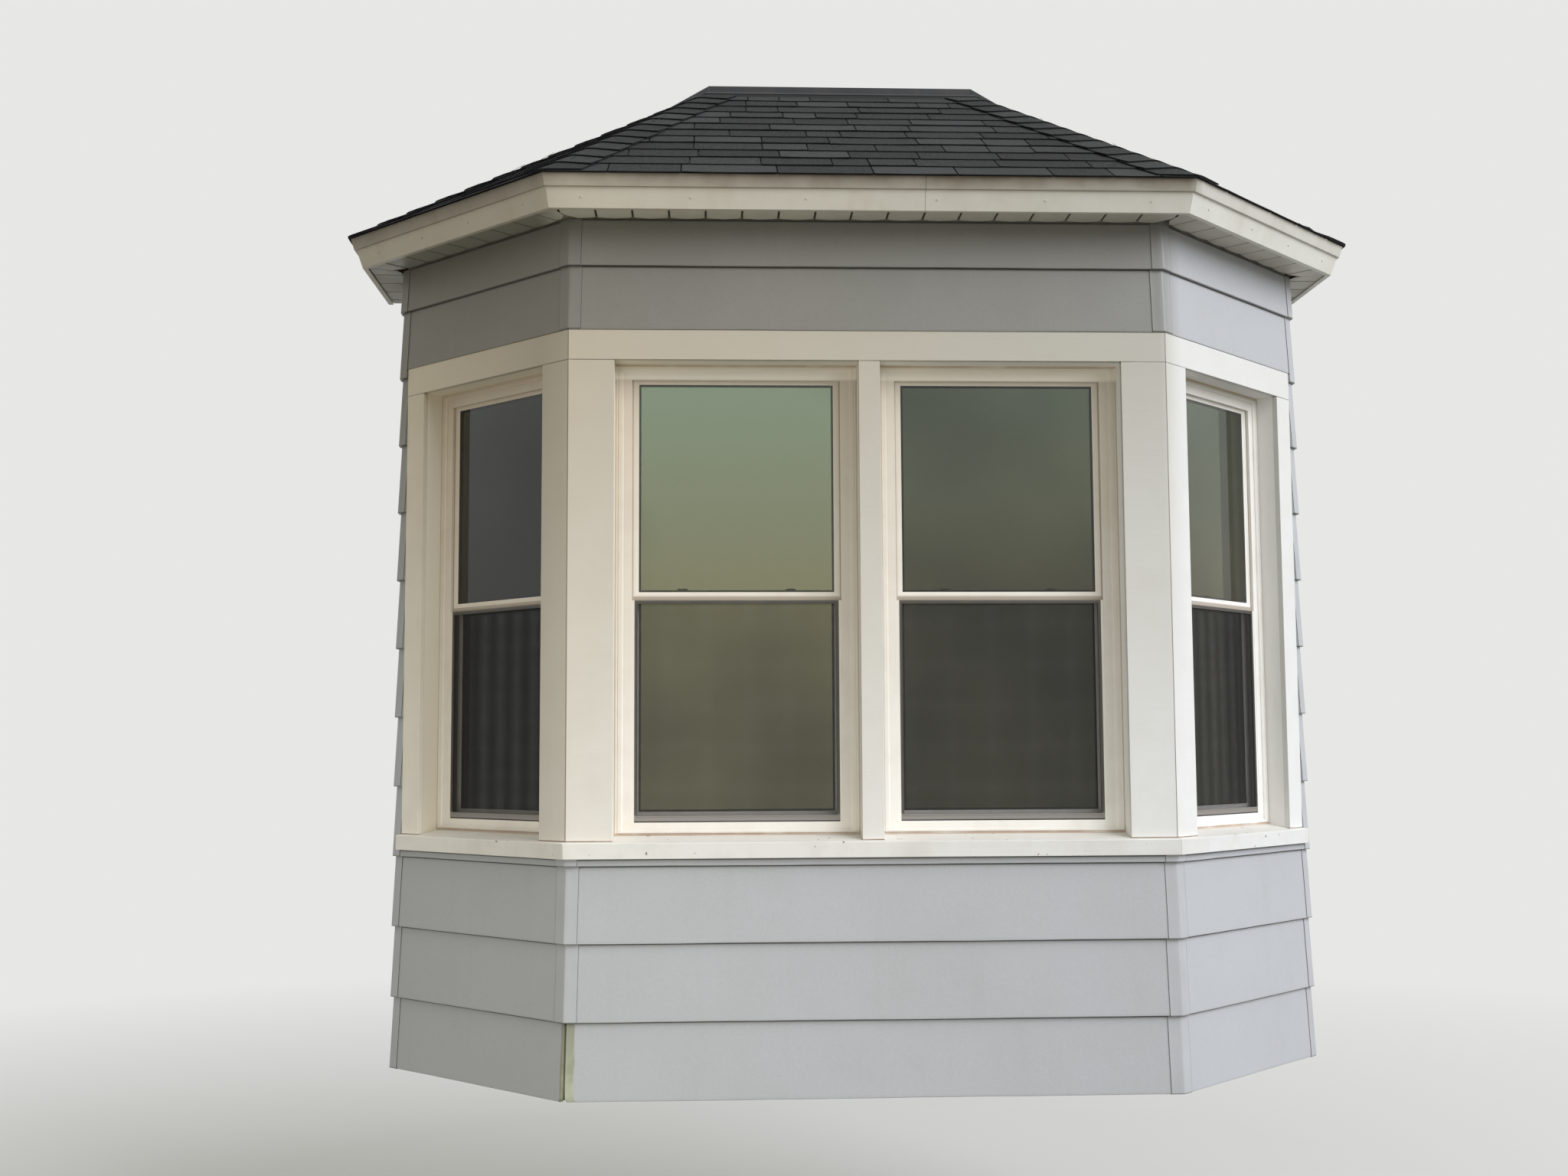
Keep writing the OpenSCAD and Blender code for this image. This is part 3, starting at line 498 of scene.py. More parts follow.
def tab(k, left, stop, s0, seed):
    """One tab: its lower edge wanders and curls up at the corners, it thins up the
    slope as straight lines between given heights, and the hips cut off its ends."""
    chance = np.random.default_rng(seed)
    low_cut = s0 + (chance.uniform(0.0, tab_ragged) if s0 > 0 else 0.0)
    s = low_cut + np.array([0.0, 0.022, 0.2, 1.0, 1.7]) * shingle_step
    s = np.minimum(s, slope_len - 0.002)
    edge_part = tab_edge / (stop - left)
    part = np.array([0.0, edge_part, 0.3, 0.7, 1 - edge_part, 1.0])
    d = eave_d - s * math.cos(roof_pitch)
    low_end = np.maximum(left, facet_end(k, -1, d) + 0.001)
    high_end = np.minimum(stop, facet_end(k, 1, d) - 0.001)
    high_end = np.maximum(high_end, low_end + 0.0005)
    u = low_end[:, None] + (high_end - low_end)[:, None] * part[None, :]
    up_slope = (s - s0)[:, None] / shingle_step
    wander = ripple(seed, u[0], 0.0016, 0.25)[None, :] * np.clip(1 - up_slope * 3, 0, 1)
    if s0 < 0:
        wander = np.maximum(wander, 0.0)
    curl = tab_curl * np.abs(2 * part - 1)[None, :] ** 4 * np.clip(1 - up_slope * 4, 0, 1)
    curl = curl * chance.uniform(0.0, 1.0)
    double = chance.choice([0.0, 0.0, tab_double]) if s0 > 0 else 0.0
    levels = [0, 1, 1.75]
    top = np.interp(up_slope, levels, [course_rise + double, tab_top_t, tab_end_t]) + curl
    top[0] -= 0.0006
    low = np.interp(up_slope, levels, [course_rise - tab_t, 0.0008, 0.0003])
    low = np.minimum(low + curl, top - 0.0004)
    sheets = [before_wall(on_slope(k, u, s[:, None] + wander, n)) for n in (top, low)]
    return shell(*sheets), cut_edges(u.shape)


def shingle_plane(k, seed):
    """A sheet of felt and all tabs of a roof plane, one course on another."""
    chance = np.random.default_rng(seed)
    s = np.array([0.002, slope_len - 0.004])[:, None]
    ends = [facet_end(k, side, eave_d - s * math.cos(roof_pitch)) for side in (-1, 1)]
    u = np.concatenate([ends[0] + 0.004, np.maximum(ends[1] - 0.004, ends[0] + 0.005)], 1)
    parts = [shell(*(before_wall(on_slope(k, u, s, n)) for n in (0.0002, 0.00005)))]
    tones, cuts = [np.zeros(8)], [np.ones(8)]
    for n in range(course_count):
        s0 = n * shingle_step - shingle_lip
        d0 = eave_d - s0 * math.cos(roof_pitch)
        first, last = float(facet_end(k, -1, d0)), float(facet_end(k, 1, d0))
        x = first - chance.uniform(0.0, 0.25)
        while x < last:
            end = x + chance.choice(tab_widths)
            left, stop = max(x + tab_gap / 2, first), min(end - tab_gap / 2, last)
            if stop - left > least_tab:
                part, cut = tab(k, left, stop, s0, int(chance.integers(1 << 30)))
                parts.append(part)
                tones.append(np.full(len(cut), chance.uniform()))
                cuts.append(cut)
            x = end
    return parts, {"tone": np.concatenate(tones), "cut": np.concatenate(cuts)}


mineral, tree, shader = new_finish("charcoal mineral granules", Roughness=0.93,
                                   Specular_IOR_Level=0.25)
place = here(tree)
tone = point_mark(tree, "tone")
grit = node(tree, "TexVoronoi", {"Vector": place, "Scale": 420.0}).outputs
grit_tone = node(tree, "SeparateColor", {"Color": grit["Color"]}).outputs[0]
blots = spread(tree, noise(tree, place, 95.0, 3.0, 0.7), 0.35, 0.7)
granules = maths(tree, "ADD", maths(tree, "MULTIPLY", grit_tone, 0.55),
                 maths(tree, "MULTIPLY", blots, 0.45))
black_or_grey = blend(tree, spread(tree, granules, 0.25, 0.85),
                      (0.007, 0.0073, 0.0075, 1), (0.058, 0.060, 0.059, 1))
blended_tab = blend(tree, spread(tree, tone, 0.45, 1.0, 0.0, 0.6), black_or_grey,
                    (0.050, 0.052, 0.052, 1))
shaded_tab = dimmed(tree, spread(tree, tone, 0.0, 0.6, 0.68, 1.05), blended_tab)
weathered = blend(tree, spread(tree, noise(tree, place, 3.0, 4.0), 0.4, 0.75, 0.0, 0.5),
                  shaded_tab, (0.021, 0.021, 0.019, 1))
lay_colour(tree, shader, blend(tree, spread(tree, point_mark(tree, "cut"), 0.35, 0.75),
                               weathered, (0.006, 0.006, 0.007, 1)))
relief(tree, shader, maths(tree, "ADD", grit["Distance"], noise(tree, place, 90.0, 2.0)),
       0.0012)

parts, marks = shingle_plane(0, 21)
settle(make_piece("shingle_tabs_front", parts, mineral, marks), "shingle",
       "shingles_front")
for name, side in (("left", -1), ("right", 1)):
    parts, marks = shingle_plane(side, 40 + 3 * side)
    more, more_marks = shingle_plane(2 * side, 60 + 3 * side)
    marks = {key: np.concatenate([marks[key], more_marks[key]]) for key in marks}
    settle(make_piece("shingle_tabs_" + name, parts + more, mineral, marks),
           "shingle", "shingles_" + name)


# Hip caps
# Single shingles bent over each hip, lapped up the hip every 130 mm and nailed
# through both roof planes. The lowest is trimmed to the eave.
hip_half_w, hip_step, hip_rise, hip_cap_t = 0.128, 0.130, 0.008, 0.0058
hip_round, hip_skew, hip_flare, hip_start = 0.012, 0.009, 0.0016, 0.0015
half_ridge = half_front - bay_depth * mitre
hip_climb = math.atan(math.tan(roof_pitch) * math.cos(math.pi / 8))


def hip_head(i):
    """Plan point at the house wall where hip i ends."""
    return np.array([math.copysign(half_ridge, i - 2.5), 0.0])


def hip_cap(i, start, length, apex, seed):
    """One cap of hip i. Across it, two straight wings in the two roof planes meet in a
    hyperbola over the hip. Along it, the cap thins from its lower edge upwards, and
    the wall and the next hip cut it off."""
    foot = np.append(plan_corner(i, eave_d), eave_z)
    plan_way = hip_head(i) - foot[:2]
    plan_way /= np.linalg.norm(plan_way)
    along = np.append(plan_way * math.cos(hip_climb), math.sin(hip_climb))
    normals = [np.append(facet_ways(k)[1] * math.sin(roof_pitch), math.cos(roof_pitch))
               for k in (i - 3, i - 2)]
    wings = [np.cross(normals[0], along), np.cross(along, normals[1])]
    chance = np.random.default_rng(seed)
    wide = hip_half_w + chance.uniform(-0.004, 0.004)
    w = wide * np.array([-1, -0.98, -0.6, -0.2, -0.08, -0.03, 0, 0.03, 0.08, 0.2, 0.6,
                         0.98, 1])
    t = start + np.array([0.0, 0.035, 0.2, 0.5, 0.98, 1.35]) * length
    over, across = np.meshgrid(np.minimum(t, apex - 0.01), w, indexing="ij")
    if start < 0:
        over = np.maximum(over, over[0, 0] + np.abs(across) * mitre)
    limit = np.maximum((apex - over) * mitre * math.cos(roof_pitch) - 0.002, 0.001)
    if i in (1, 3):
        across = np.minimum(across, limit)
    else:
        across = np.maximum(across, -limit)
    up_cap = (over - start) / length
    skew = chance.uniform(-hip_skew, hip_skew) * across / hip_half_w
    over = over + skew * np.clip(1 - up_cap, 0, 1)
    root = np.sqrt(across ** 2 + hip_round ** 2)
    share = (1 + across / root) / 2
    normal = (1 - share)[..., None] * normals[0] + share[..., None] * normals[1]
    flare = hip_flare * (np.abs(across) / hip_half_w) ** 3 * np.clip(1 - up_cap * 2, 0, 1)
    levels = [0, 1, 1.35]
    top = course_rise + np.interp(up_cap, levels, [hip_rise, 0.0024, 0.0012]) + flare
    top[0] -= 0.0006
    low = np.interp(up_cap, levels, [hip_rise - hip_cap_t, 0.0002, 0.0001])
    low = np.minimum(course_rise + low + flare, top - 0.0004)
    base = (foot + over[..., None] * along + ((root - across) / 2)[..., None] * wings[0]
            + ((root + across) / 2)[..., None] * wings[1])
    sheets = [before_wall(base + normal * n[..., None]) for n in (top, low)]
    return shell(*sheets), cut_edges(over.shape)


parts, tones, cuts = [], [], []
chance = np.random.default_rng(77)
for i in (1, 2, 3, 4):
    plan_len = float(np.linalg.norm(plan_corner(i, eave_d) - hip_head(i)))
    hip_len = plan_len / math.cos(hip_climb)
    start = hip_start - shingle_lip
    while start < hip_len - 0.06:
        part, cut = hip_cap(i, start, hip_step, hip_len, int(chance.integers(1 << 30)))
        parts.append(part)
        tones.append(np.full(len(cut), chance.uniform(0.0, 0.9)))
        cuts.append(cut)
        start += hip_step * chance.uniform(0.97, 1.03)
marks = {"tone": np.concatenate(tones), "cut": np.concatenate(cuts)}
settle(make_piece("hip_cap_shingles", parts, mineral, marks, sharp=40), "shingle",
       "hip_caps")


# Head flashing
# Dark bent sheet metal over the top course. One leg lies on the shingles in a bed of
# roofing cement, and the other goes up behind the house siding.
flashing, tree, shader = new_finish("dark flashing metal", Metallic=0.2, Roughness=0.6)
aged = age(tree, (0.028, 0.029, 0.031, 1), (0.06, 0.055, 0.05, 1), 0.5, 0.3, 0.6)
lay_colour(tree, shader, aged["Colour"])
relief(tree, shader, noise(tree, here(tree), 14.0), 0.0015)
coat(flashing, "flashing")


def spotted_finish(name, scale, detail, dark, pale, **values):
    """A plain finish of two close tones in soft spots."""
    material, tree, shader = new_finish(name, **values)
    lay_colour(tree, shader, blend(tree, noise(tree, here(tree), scale, detail), dark,
                                   pale))
    return material


bed_w, bed_h = 0.043, 0.0142
bed_y = np.array([-bed_w, -0.003, -0.003, -bed_w])
bed_n = np.array([0.0, 0.0, bed_h, bed_h])
far_s = eave_d + bay_depth + bed_n * math.sin(roof_pitch)
front_s = (far_s + bed_y) / math.cos(roof_pitch)
side_s = (far_s + bed_y / mitre) / math.cos(roof_pitch)
half_bed = half_ridge - bed_y * mitre + 0.004
parts = [bar(on_slope(0, np.array([[-1.0], [1.0]]) * half_bed, front_s, bed_n))]
for side in (-1, 1):
    parts.append(bar(on_slope(2 * side, side * (return_d / 2 + bed_y),
                              np.stack([np.full(4, 0.005), side_s]), bed_n)))
cement = spotted_finish("roofing cement", 40.0, 3.0, (0.006, 0.006, 0.006, 1),
                        (0.014, 0.013, 0.012, 1), Roughness=0.7)
settle(make_piece("roof_cement", parts, cement), "shingle")


# Fascia
# A painted board that leans out from the soffit's edge, with a narrower strip nailed
# along its top. The boards are mitred at the corners and butted on the long front.
soffit_z = 2.8935
fascia_lean, fascia_t, fascia_drop = 0.044, 0.020, 0.006
strip_h, strip_step, fascia_lap = 0.043, 0.009, 0.006
butt_u, joint_gap = 0.185, 0.0012
nail_r, nail_proud, nail_deep = 0.0035, 0.0006, 0.002


def fillet(profile, radii, steps=3):
    """A closed profile with rounded corners: each corner is replaced by points on the
    curve that touches both of its sides, or kept where its radius is nothing."""
    profile = np.array(profile, float)
    made = []
    for j, radius in enumerate(radii):
        corner = profile[j]
        before = profile[j - 1] - corner
        after = profile[(j + 1) % len(profile)] - corner
        reach = min(np.linalg.norm(before), np.linalg.norm(after)) * 0.45
        before, after = before / np.linalg.norm(before), after / np.linalg.norm(after)
        half = math.acos(np.clip(np.dot(before, after), -1, 1)) / 2
        if radius <= 0 or half > 1.5:
            made.append(corner)
            continue
        cut = min(radius / math.tan(half), reach)
        share = np.linspace(0, 1, steps + 1)[:, None]
        made.extend((1 - share) ** 2 * (corner + before * cut)
                    + 2 * share * (1 - share) * corner
                    + share ** 2 * (corner + after * cut))
    return np.array(made)


def facet_bar(k, profile, low=None, high=None):
    """A profile of (distance out, height) carried along facet k. Its ends are mitred
    at the corners, or square where a place along the facet is given."""
    d, z = profile[:, 0], profile[:, 1]
    first = facet_end(k, -1, d) + 0.0003 if low is None else np.full(len(d), low)
    last = facet_end(k, 1, d) - 0.0003 if high is None else np.full(len(d), high)
    return bar(on_facet(k, np.stack([first, last]), d[None, :], z[None, :]))


def facet_nail(k, u, d, z, tilt):
    """A round nail head on facet k: two rings and a flat top about an axis that points
    out and tilts down by a slope."""
    axis_way = np.append(facet_ways(k)[1], -tilt)
    axis_way /= np.linalg.norm(axis_way)
    side = np.cross(axis_way, [0.0, 0.0, 1.0])
    side /= np.linalg.norm(side)
    other = np.cross(axis_way, side)
    turn = np.linspace(0, 2 * math.pi, 10, endpoint=False)[None, :, None]
    ring = np.cos(turn) * side + np.sin(turn) * other
    depths = np.array([-nail_deep, nail_proud * 0.4, nail_proud])[:, None, None]
    sizes = np.array([1.0, 1.0, 0.7])[:, None, None] * nail_r
    return bar(on_facet(k, u, d, z) + ring * sizes + depths * axis_way)


lean = fascia_lean / (eave_z - soffit_z + fascia_drop)
strip_z = eave_z - strip_h
strip_foot_d = eave_d - lean * strip_h
fascia_back = eave_d - fascia_t - fascia_lap
foot_d, foot_z = eave_d - fascia_lean, soffit_z - fascia_drop
fascia_profile = fillet(
    [(eave_d, eave_z), (strip_foot_d + strip_step / 2, strip_z),
     (strip_foot_d - strip_step / 2, strip_z), (foot_d, foot_z),
     (foot_d - fascia_t, foot_z),
     (fascia_back, eave_z + (eave_d - fascia_back) * math.tan(roof_pitch))],
    [0.0015, 0.002, 0.0005, 0.0015, 0.0015, 0.0])
parts = [facet_bar(k, fascia_profile) for k in (-2, -1)]
parts.append(facet_bar(0, fascia_profile, high=butt_u - joint_gap / 2))
parts.append(facet_bar(0, fascia_profile, low=butt_u + joint_gap / 2))
parts += [facet_bar(k, fascia_profile) for k in (1, 2)]

chance = np.random.default_rng(5)
nail_z = soffit_z + 0.030
nail_d = foot_d + lean * (nail_z - foot_z)
for k, count in ((-2, 2), (-1, 4), (0, 6), (1, 4), (2, 2)):
    reach = half_len[abs(k)] - 0.06
    for u in np.linspace(-reach, reach, count):
        parts.append(facet_nail(k, u + chance.uniform(-0.03, 0.03), nail_d, nail_z, lean))

trim_relief, given, wanted = effect(
    "brushed paint",
    [("Brush Length", "value", 1.0), ("Fine", "value", 1.0)], [("Height", "value")])
place = here(trim_relief)
brush = noise(trim_relief, stretched(trim_relief, place, (6, 6, 90)), 1.0, 4.0)
pores = noise(trim_relief, place, 700.0, 2.0)
trim_relief.links.new(
    maths(trim_relief, "ADD", maths(trim_relief, "MULTIPLY", brush, given["Brush Length"]),
          maths(trim_relief, "MULTIPLY", pores, given["Fine"])), wanted["Height"])

# Painted light and shade: the cover changes colour from left to right across the bay as
# painted light, darkens from its foot height up to its top height as painted shade, and is
# darkened on the left facet and lightened toward that facet's outer end, both painted.
light_and_shade_cover, given, wanted = effect(
    "paint with painted light and shade",
    [("Left Lit Paint", "colour", (0.6, 0.6, 0.6, 1)),
     ("Right Lit Paint", "colour", (0.6, 0.6, 0.6, 1)),
     ("Left Upper Shade", "colour", (0.4, 0.38, 0.33, 1)),
     ("Right Upper Shade", "colour", (0.4, 0.38, 0.33, 1)),
     ("Foot", "value", 90.0), ("Top", "value", 91.0), ("Right Share", "value", 1.0),
     ("Left Shade", "value", 1.0), ("Left End", "value", 1.0)],
    [("Colour", "colour"), ("Upper Shade Mask", "value")])
across = axis(light_and_shade_cover, "X")
rightward = spread(light_and_shade_cover, across, -1.3, 1.2)
side_lit_paint = blend(light_and_shade_cover, rightward, given["Left Lit Paint"], given["Right Lit Paint"])
upper_shade = blend(light_and_shade_cover, rightward, given["Left Upper Shade"], given["Right Upper Shade"])
wisps = stretched(light_and_shade_cover, here(light_and_shade_cover), (2.5, 2.5, 6.0))
drifting = spread(light_and_shade_cover, noise(light_and_shade_cover, wisps, 1.0, 4.0), 0.3, 0.7, -0.05, 0.05)
wavy_height = maths(light_and_shade_cover, "ADD", axis(light_and_shade_cover, "Z"), drifting)
facet_share = spread(light_and_shade_cover, across, 1.03, 1.13, 1.0, given["Right Share"])
upper_shade_mask = maths(light_and_shade_cover, "MULTIPLY", facet_share,
                   spread(light_and_shade_cover, wavy_height, given["Foot"], given["Top"]))
shade = maths(light_and_shade_cover, "MULTIPLY",
              spread(light_and_shade_cover, across, -1.16, -1.06, given["Left Shade"], 1.0),
              spread(light_and_shade_cover, across, -1.85, -1.16, given["Left End"], 1.0))
light_and_shade_cover.links.new(dimmed(light_and_shade_cover, shade, blend(light_and_shade_cover, upper_shade_mask, side_lit_paint, upper_shade)),
                    wanted["Colour"])
light_and_shade_cover.links.new(upper_shade_mask, wanted["Upper Shade Mask"])


def trim_finish(name, cover, dirt, amount, runs):
    """Semi-matt paint on smooth boards: its cover changes across the bay and darkens
    upward as painted light and shade, and patches and runs soil it."""
    material, tree, shader = new_finish(name)
    aged = age(tree, use(tree, light_and_shade_cover, cover)["Colour"], dirt, amount, 0.35, runs)
    lay_colour(tree, shader, aged["Colour"])
    rough = spread(tree, aged["Dirt Mask"], 0.0, 0.6, 0.42, 0.75)
    tree.links.new(rough, shader.inputs["Roughness"])
    brushed = use(tree, trim_relief, {"Brush Length": 0.7, "Fine": 0.5})
    relief(tree, shader, brushed["Height"], 0.0005)
    return material, tree, shader


def overlay(tree, shader, mask, colour):
    """Mixes a colour, where a mask has it, over what feeds the base colour."""
    before = shader.inputs["Base Color"].links[0].from_socket
    lay_colour(tree, shader, blend(tree, mask, before, colour))


# The fascia's cover changes across the bay as painted light and is darkened on the left
# facet as painted shade.
fascia_paint, tree, shader = trim_finish(
    "fascia paint", {"Left Lit Paint": (0.66, 0.60, 0.48, 1),
                     "Right Lit Paint": (0.71, 0.70, 0.63, 1), "Left Shade": 0.82},
    (0.42, 0.36, 0.26, 1), 0.22, 0.7)
height, across = axis(tree, "Z"), axis(tree, "X")
# The tan stain on the top strip is dirt, but its strength is varied across the bay as
# painted light and shade: a little less at the front's left end, growing toward the right
# across the front, and far less on the right facet.
edge_wander = spread(tree, noise(tree, here(tree), 7.0, 4.0), 0.3, 0.7, -0.012, 0.012)
stain_and_shade = spread(tree, maths(tree, "ADD", height, edge_wander), strip_z - 0.002,
               strip_z + 0.045, 0.45, 0.85)
for start, stop, from_share, to_share in (
        (-1.16, -1.10, 1.0, 0.88), (-1.0, -0.5, 1.0, 1.30), (-0.3, 0.4, 1.0, 1.10),
        (1.10, 1.16, 1.0, 0.3)):
    stain_and_shade = maths(tree, "MULTIPLY", stain_and_shade,
                  spread(tree, across, start, stop, from_share, to_share))
on_strip = maths(tree, "GREATER_THAN", height, strip_z - 0.0005)
overlay(tree, shader, maths(tree, "MULTIPLY", stain_and_shade, on_strip, clamp=True),
        (0.145, 0.115, 0.075, 1))
settle(make_piece("fascia_boards", parts, fascia_paint), "trim_paint", "fascia")


# Soffit
# Formed panels with a groove every 127 mm, square to each wall, held between the
# siding and the fascia. Each panel sags a little between two grooves and stops short
# of the siding, so a notch shows at its inner end. The grooves and the notch are
# painted near black as painted shadow.
groove_gap, soffit_t, panel_sag, notch_h = 0.127, 0.012, 0.0012, 0.005
soffit_in, soffit_out = 0.006, eave_d - fascia_lean - fascia_t - 0.0005


def soffit_panel(k, n):
    """Panel n of facet k, between two grooves. Across it, the face drops in a flat arc
    between raised lips; along it, each line runs from the mitre or the siding out to
    the fascia. The mark is 1 in the grooves and the notch at the siding, where shadow
    is painted."""
    part = np.array([0.0, 0.02, 0.035, 0.06, 0.1, 0.5, 0.9, 0.94, 0.965, 0.98, 1.0])
    u = (n + part - 0.5) * groove_gap
    u = np.clip(u, facet_end(k, -1, soffit_out) + 0.001,
                facet_end(k, 1, soffit_out) - 0.001)
    if u[-1] - u[0] < 0.004:
        return None
    lips = np.interp(part, [0, 0.02, 0.035, 0.06, 0.94, 0.965, 0.98, 1],
                     [0.0045, 0.004, 0.0, 0.001, 0.001, 0.0, 0.004, 0.0045])
    sag = panel_sag * (1 - (2 * part - 1) ** 2)
    drop = np.where((part > 0.05) & (part < 0.95), lips - sag, lips)
    wall_side = np.sign(k) * u > half_len[abs(k)] if abs(k) == 2 else np.zeros(len(u), bool)
    start = np.maximum(soffit_in, (np.abs(u) - half_len[abs(k)]) / mitre + 0.0006)
    start = np.where(wall_side, soffit_in, start)
    start = np.minimum(start, soffit_out - 0.001)
    share = np.array([0.0, 0.02, 0.09, 0.5, 1.0])[:, None]
    d = start[None, :] + (soffit_out - start)[None, :] * share
    beside = np.clip(np.abs(2 * part - 1)[None, :] * 6 - 4.4, 0, 1)
    notch = notch_h * np.clip(1 - share / 0.09, 0, 1) * beside
    z = soffit_z + drop[None, :] + notch
    top = np.full(d.shape, soffit_z + soffit_t - 0.001)
    mark = np.where((part < 0.03) | (part > 0.97), 1.0, 0.0)[None, :] + 0 * share
    mark[0] = 1.0
    sheets = [on_facet(k, u[None, :], d, level) for level in (z, top)]
    return shell(*sheets), np.concatenate([mark.ravel(), np.ones(mark.size)])


panels = []
for k in range(-2, 3):
    count = math.ceil((half_len[abs(k)] + mitre * soffit_out) / groove_gap) + 1
    panels += [soffit_panel(k, n) for n in range(-count, count + 1)]
panels = [panel for panel in panels if panel is not None]
# The soffit's cover is painted lighter on the front's left part and much darker on the left
# facet, as painted light and shade.
soffit_paint, tree, shader = trim_finish(
    "soffit paint", {"Left Lit Paint": (0.79, 0.755, 0.615, 1),
                     "Right Lit Paint": (0.55, 0.53, 0.46, 1), "Left Shade": 0.35},
    (0.20, 0.17, 0.12, 1), 0.3, 0.0)
# Painted shadow: the grooves and the notch at the siding are painted near black.
overlay(tree, shader, point_mark(tree, "groove"), (0.03, 0.026, 0.02, 1))
settle(make_piece("soffit_panels", [part for part, _ in panels], soffit_paint,
                  {"groove": np.concatenate([mark for _, mark in panels])}, sharp=50),
       "soffit", "soffit")


# Lap siding
# Pre-primed hardboard boards 12 mm thick, each lapped over the one below to show
# 260 mm, nailed to the sheathing and painted a pale blue-grey. Their face has a very
# fine orange-peel texture and their lower arris catches the light.
course_h, board_t, drip_z = 0.260, 0.012, -0.1325
sill_z, frieze_z = 0.6715, 2.4995
board_back_gap, end_gap, bare_end_gap, cap_w = 0.0008, 0.003, 0.0055, 0.046
front_bare, left_bare = (0.028, 0.0), (0.0, 0.011)


def lap_board(k, n, z0, z1, low=None, high=None, bare=(0.0, 0.0)):
    """One board of course n on facet k between two levels. Its face leans back by its
    thickness over one course and wanders a little; the foot has a rounded arris. The
    other results mark where the ends are bare of paint, and a painted shadow line under
    the next course."""
    foot_z = drip_z + n * course_h
    start, stop = max(z0, foot_z), min(z1, foot_z + course_h)
    z = np.concatenate([[start + 0.0001, start, start + 0.0006, start + 0.0025],
                        np.linspace(start + 0.012, stop - 0.0065, 7),
                        [stop - 0.0035, stop]])
    inset = np.array([0.0028, 0.0012, 0.0003] + [0.0] * 10)
    face = sheath_d + 2 * board_t - board_t * (z - foot_z) / course_h
    front = face - inset
    back = np.maximum(face - board_t, sheath_d) + board_back_gap
    back[0:3] = back[3]
    gaps = [bare_end_gap if width > 0 else end_gap for width in bare]
    first = facet_end(k, -1, face) + gaps[0] if low is None else np.full(len(z), low)
    last = facet_end(k, 1, face) - gaps[1] if high is None else np.full(len(z), high)
    chip = np.interp(z - start, [0.0, 0.003, 0.012, 0.03], [0.009, 0.004, 0.001, 0.0])
    first = first + chip * (bare[0] > 0)
    last = last - chip * (bare[1] > 0)
    length = float(last[0] - first[0])
    share = np.linspace(0, 1, max(3, int(length / 0.05)))
    for side, width in enumerate(bare):
        if width > 0:
            close = np.linspace(0, (width + 0.02) / length, 30)
            share = np.concatenate([share, close if side == 0 else 1 - close])
    share = np.unique(share.round(6))[:, None]
    u = first[None, :] + (last - first)[None, :] * share
    seed = 1000 + 40 * n + k
    swell = ripple(seed, u, 0.0004, 0.9) * np.sin(math.pi * np.clip(
        (z - start) / (stop - start), 0, 1))[None, :]
    dip = ripple(seed + 7, u, 0.0006, 1.3) * np.clip(1 - (z - start) / 0.1, 0, 1)[None, :]
    outer = on_facet(k, u, front[None, :] + swell, z[None, :] + dip)
    inner = on_facet(k, u, back[None, :] + 0 * u, z[None, :] + dip)
    part = shell(outer, inner)
    # Painted shadow: the top two rows, just under the next course's foot, are marked for a
    # dark line.
    line = np.zeros(u.shape)
    line[:, -2:] = 1.0
    mark = np.zeros(u.shape)
    for side, width in enumerate(bare):
        if width > 0:
            away = (u - first[None, :]) if side == 0 else (last[None, :] - u)
            edge = width + ripple(seed + 3, z, 0.0022, 0.16)[None, :]
            mark = np.maximum(mark, np.clip((edge - away) / 0.004 + 0.5, 0, 1))
    return part, np.tile(mark.ravel(), 2), np.tile(line.ravel(), 2)


def siding_boards(k, z0, z1, low=None, high=None, bare_ends=(0.0, 0.0)):
    """Boards of facet k from one level to another. Only the lowest has bare ends."""
    lowest = int((z0 - drip_z) / course_h + 1e-6)
    highest = math.ceil((z1 - drip_z) / course_h - 1e-6)
    return [lap_board(k, n, z0, z1, low, high, bare_ends if n == 0 else (0, 0))
            for n in range(lowest, highest)]


board_paint, tree, shader = new_finish("siding paint", Roughness=0.5)
place = here(tree)
# The siding's cover darkens from 1 m up to 2.5 m as painted shade under the eave, mostly on
# the front and left, and changes across the bay as painted light.
siding_cover = {"Left Lit Paint": (0.430, 0.440, 0.446, 1),
                "Right Lit Paint": (0.440, 0.450, 0.466, 1),
                "Left Upper Shade": (0.192, 0.181, 0.146, 1),
                "Right Upper Shade": (0.222, 0.219, 0.203, 1),
                "Foot": 1.0, "Top": 2.5, "Right Share": 0.15}
aged = age(tree, use(tree, light_and_shade_cover, siding_cover)["Colour"], (0.31, 0.30, 0.27, 1),
           0.16, 0.9, 0.5)
mottle = spread(tree, noise(tree, place, 130.0), 0.3, 0.7, 0.97, 1.03)
lay_colour(tree, shader, dimmed(tree, mottle, aged["Colour"]))
primer_tone = blend(tree, spread(tree, noise(tree, place, 22.0, 4.0), 0.35, 0.7),
                    (0.30, 0.315, 0.215, 1), (0.43, 0.45, 0.32, 1))
primer_tone = blend(tree, spread(tree, axis(tree, "Z"), drip_z + 0.06, drip_z + 0.22),
                    primer_tone, (0.27, 0.275, 0.20, 1))
# The bare primer is painted darker on the left facet as painted shade.
on_left_facet = maths(tree, "LESS_THAN", axis(tree, "X"), -half_front - 0.01)
primer_tone = blend(tree, on_left_facet, primer_tone, (0.19, 0.19, 0.145, 1))
overlay(tree, shader, point_mark(tree, "bare"), primer_tone)
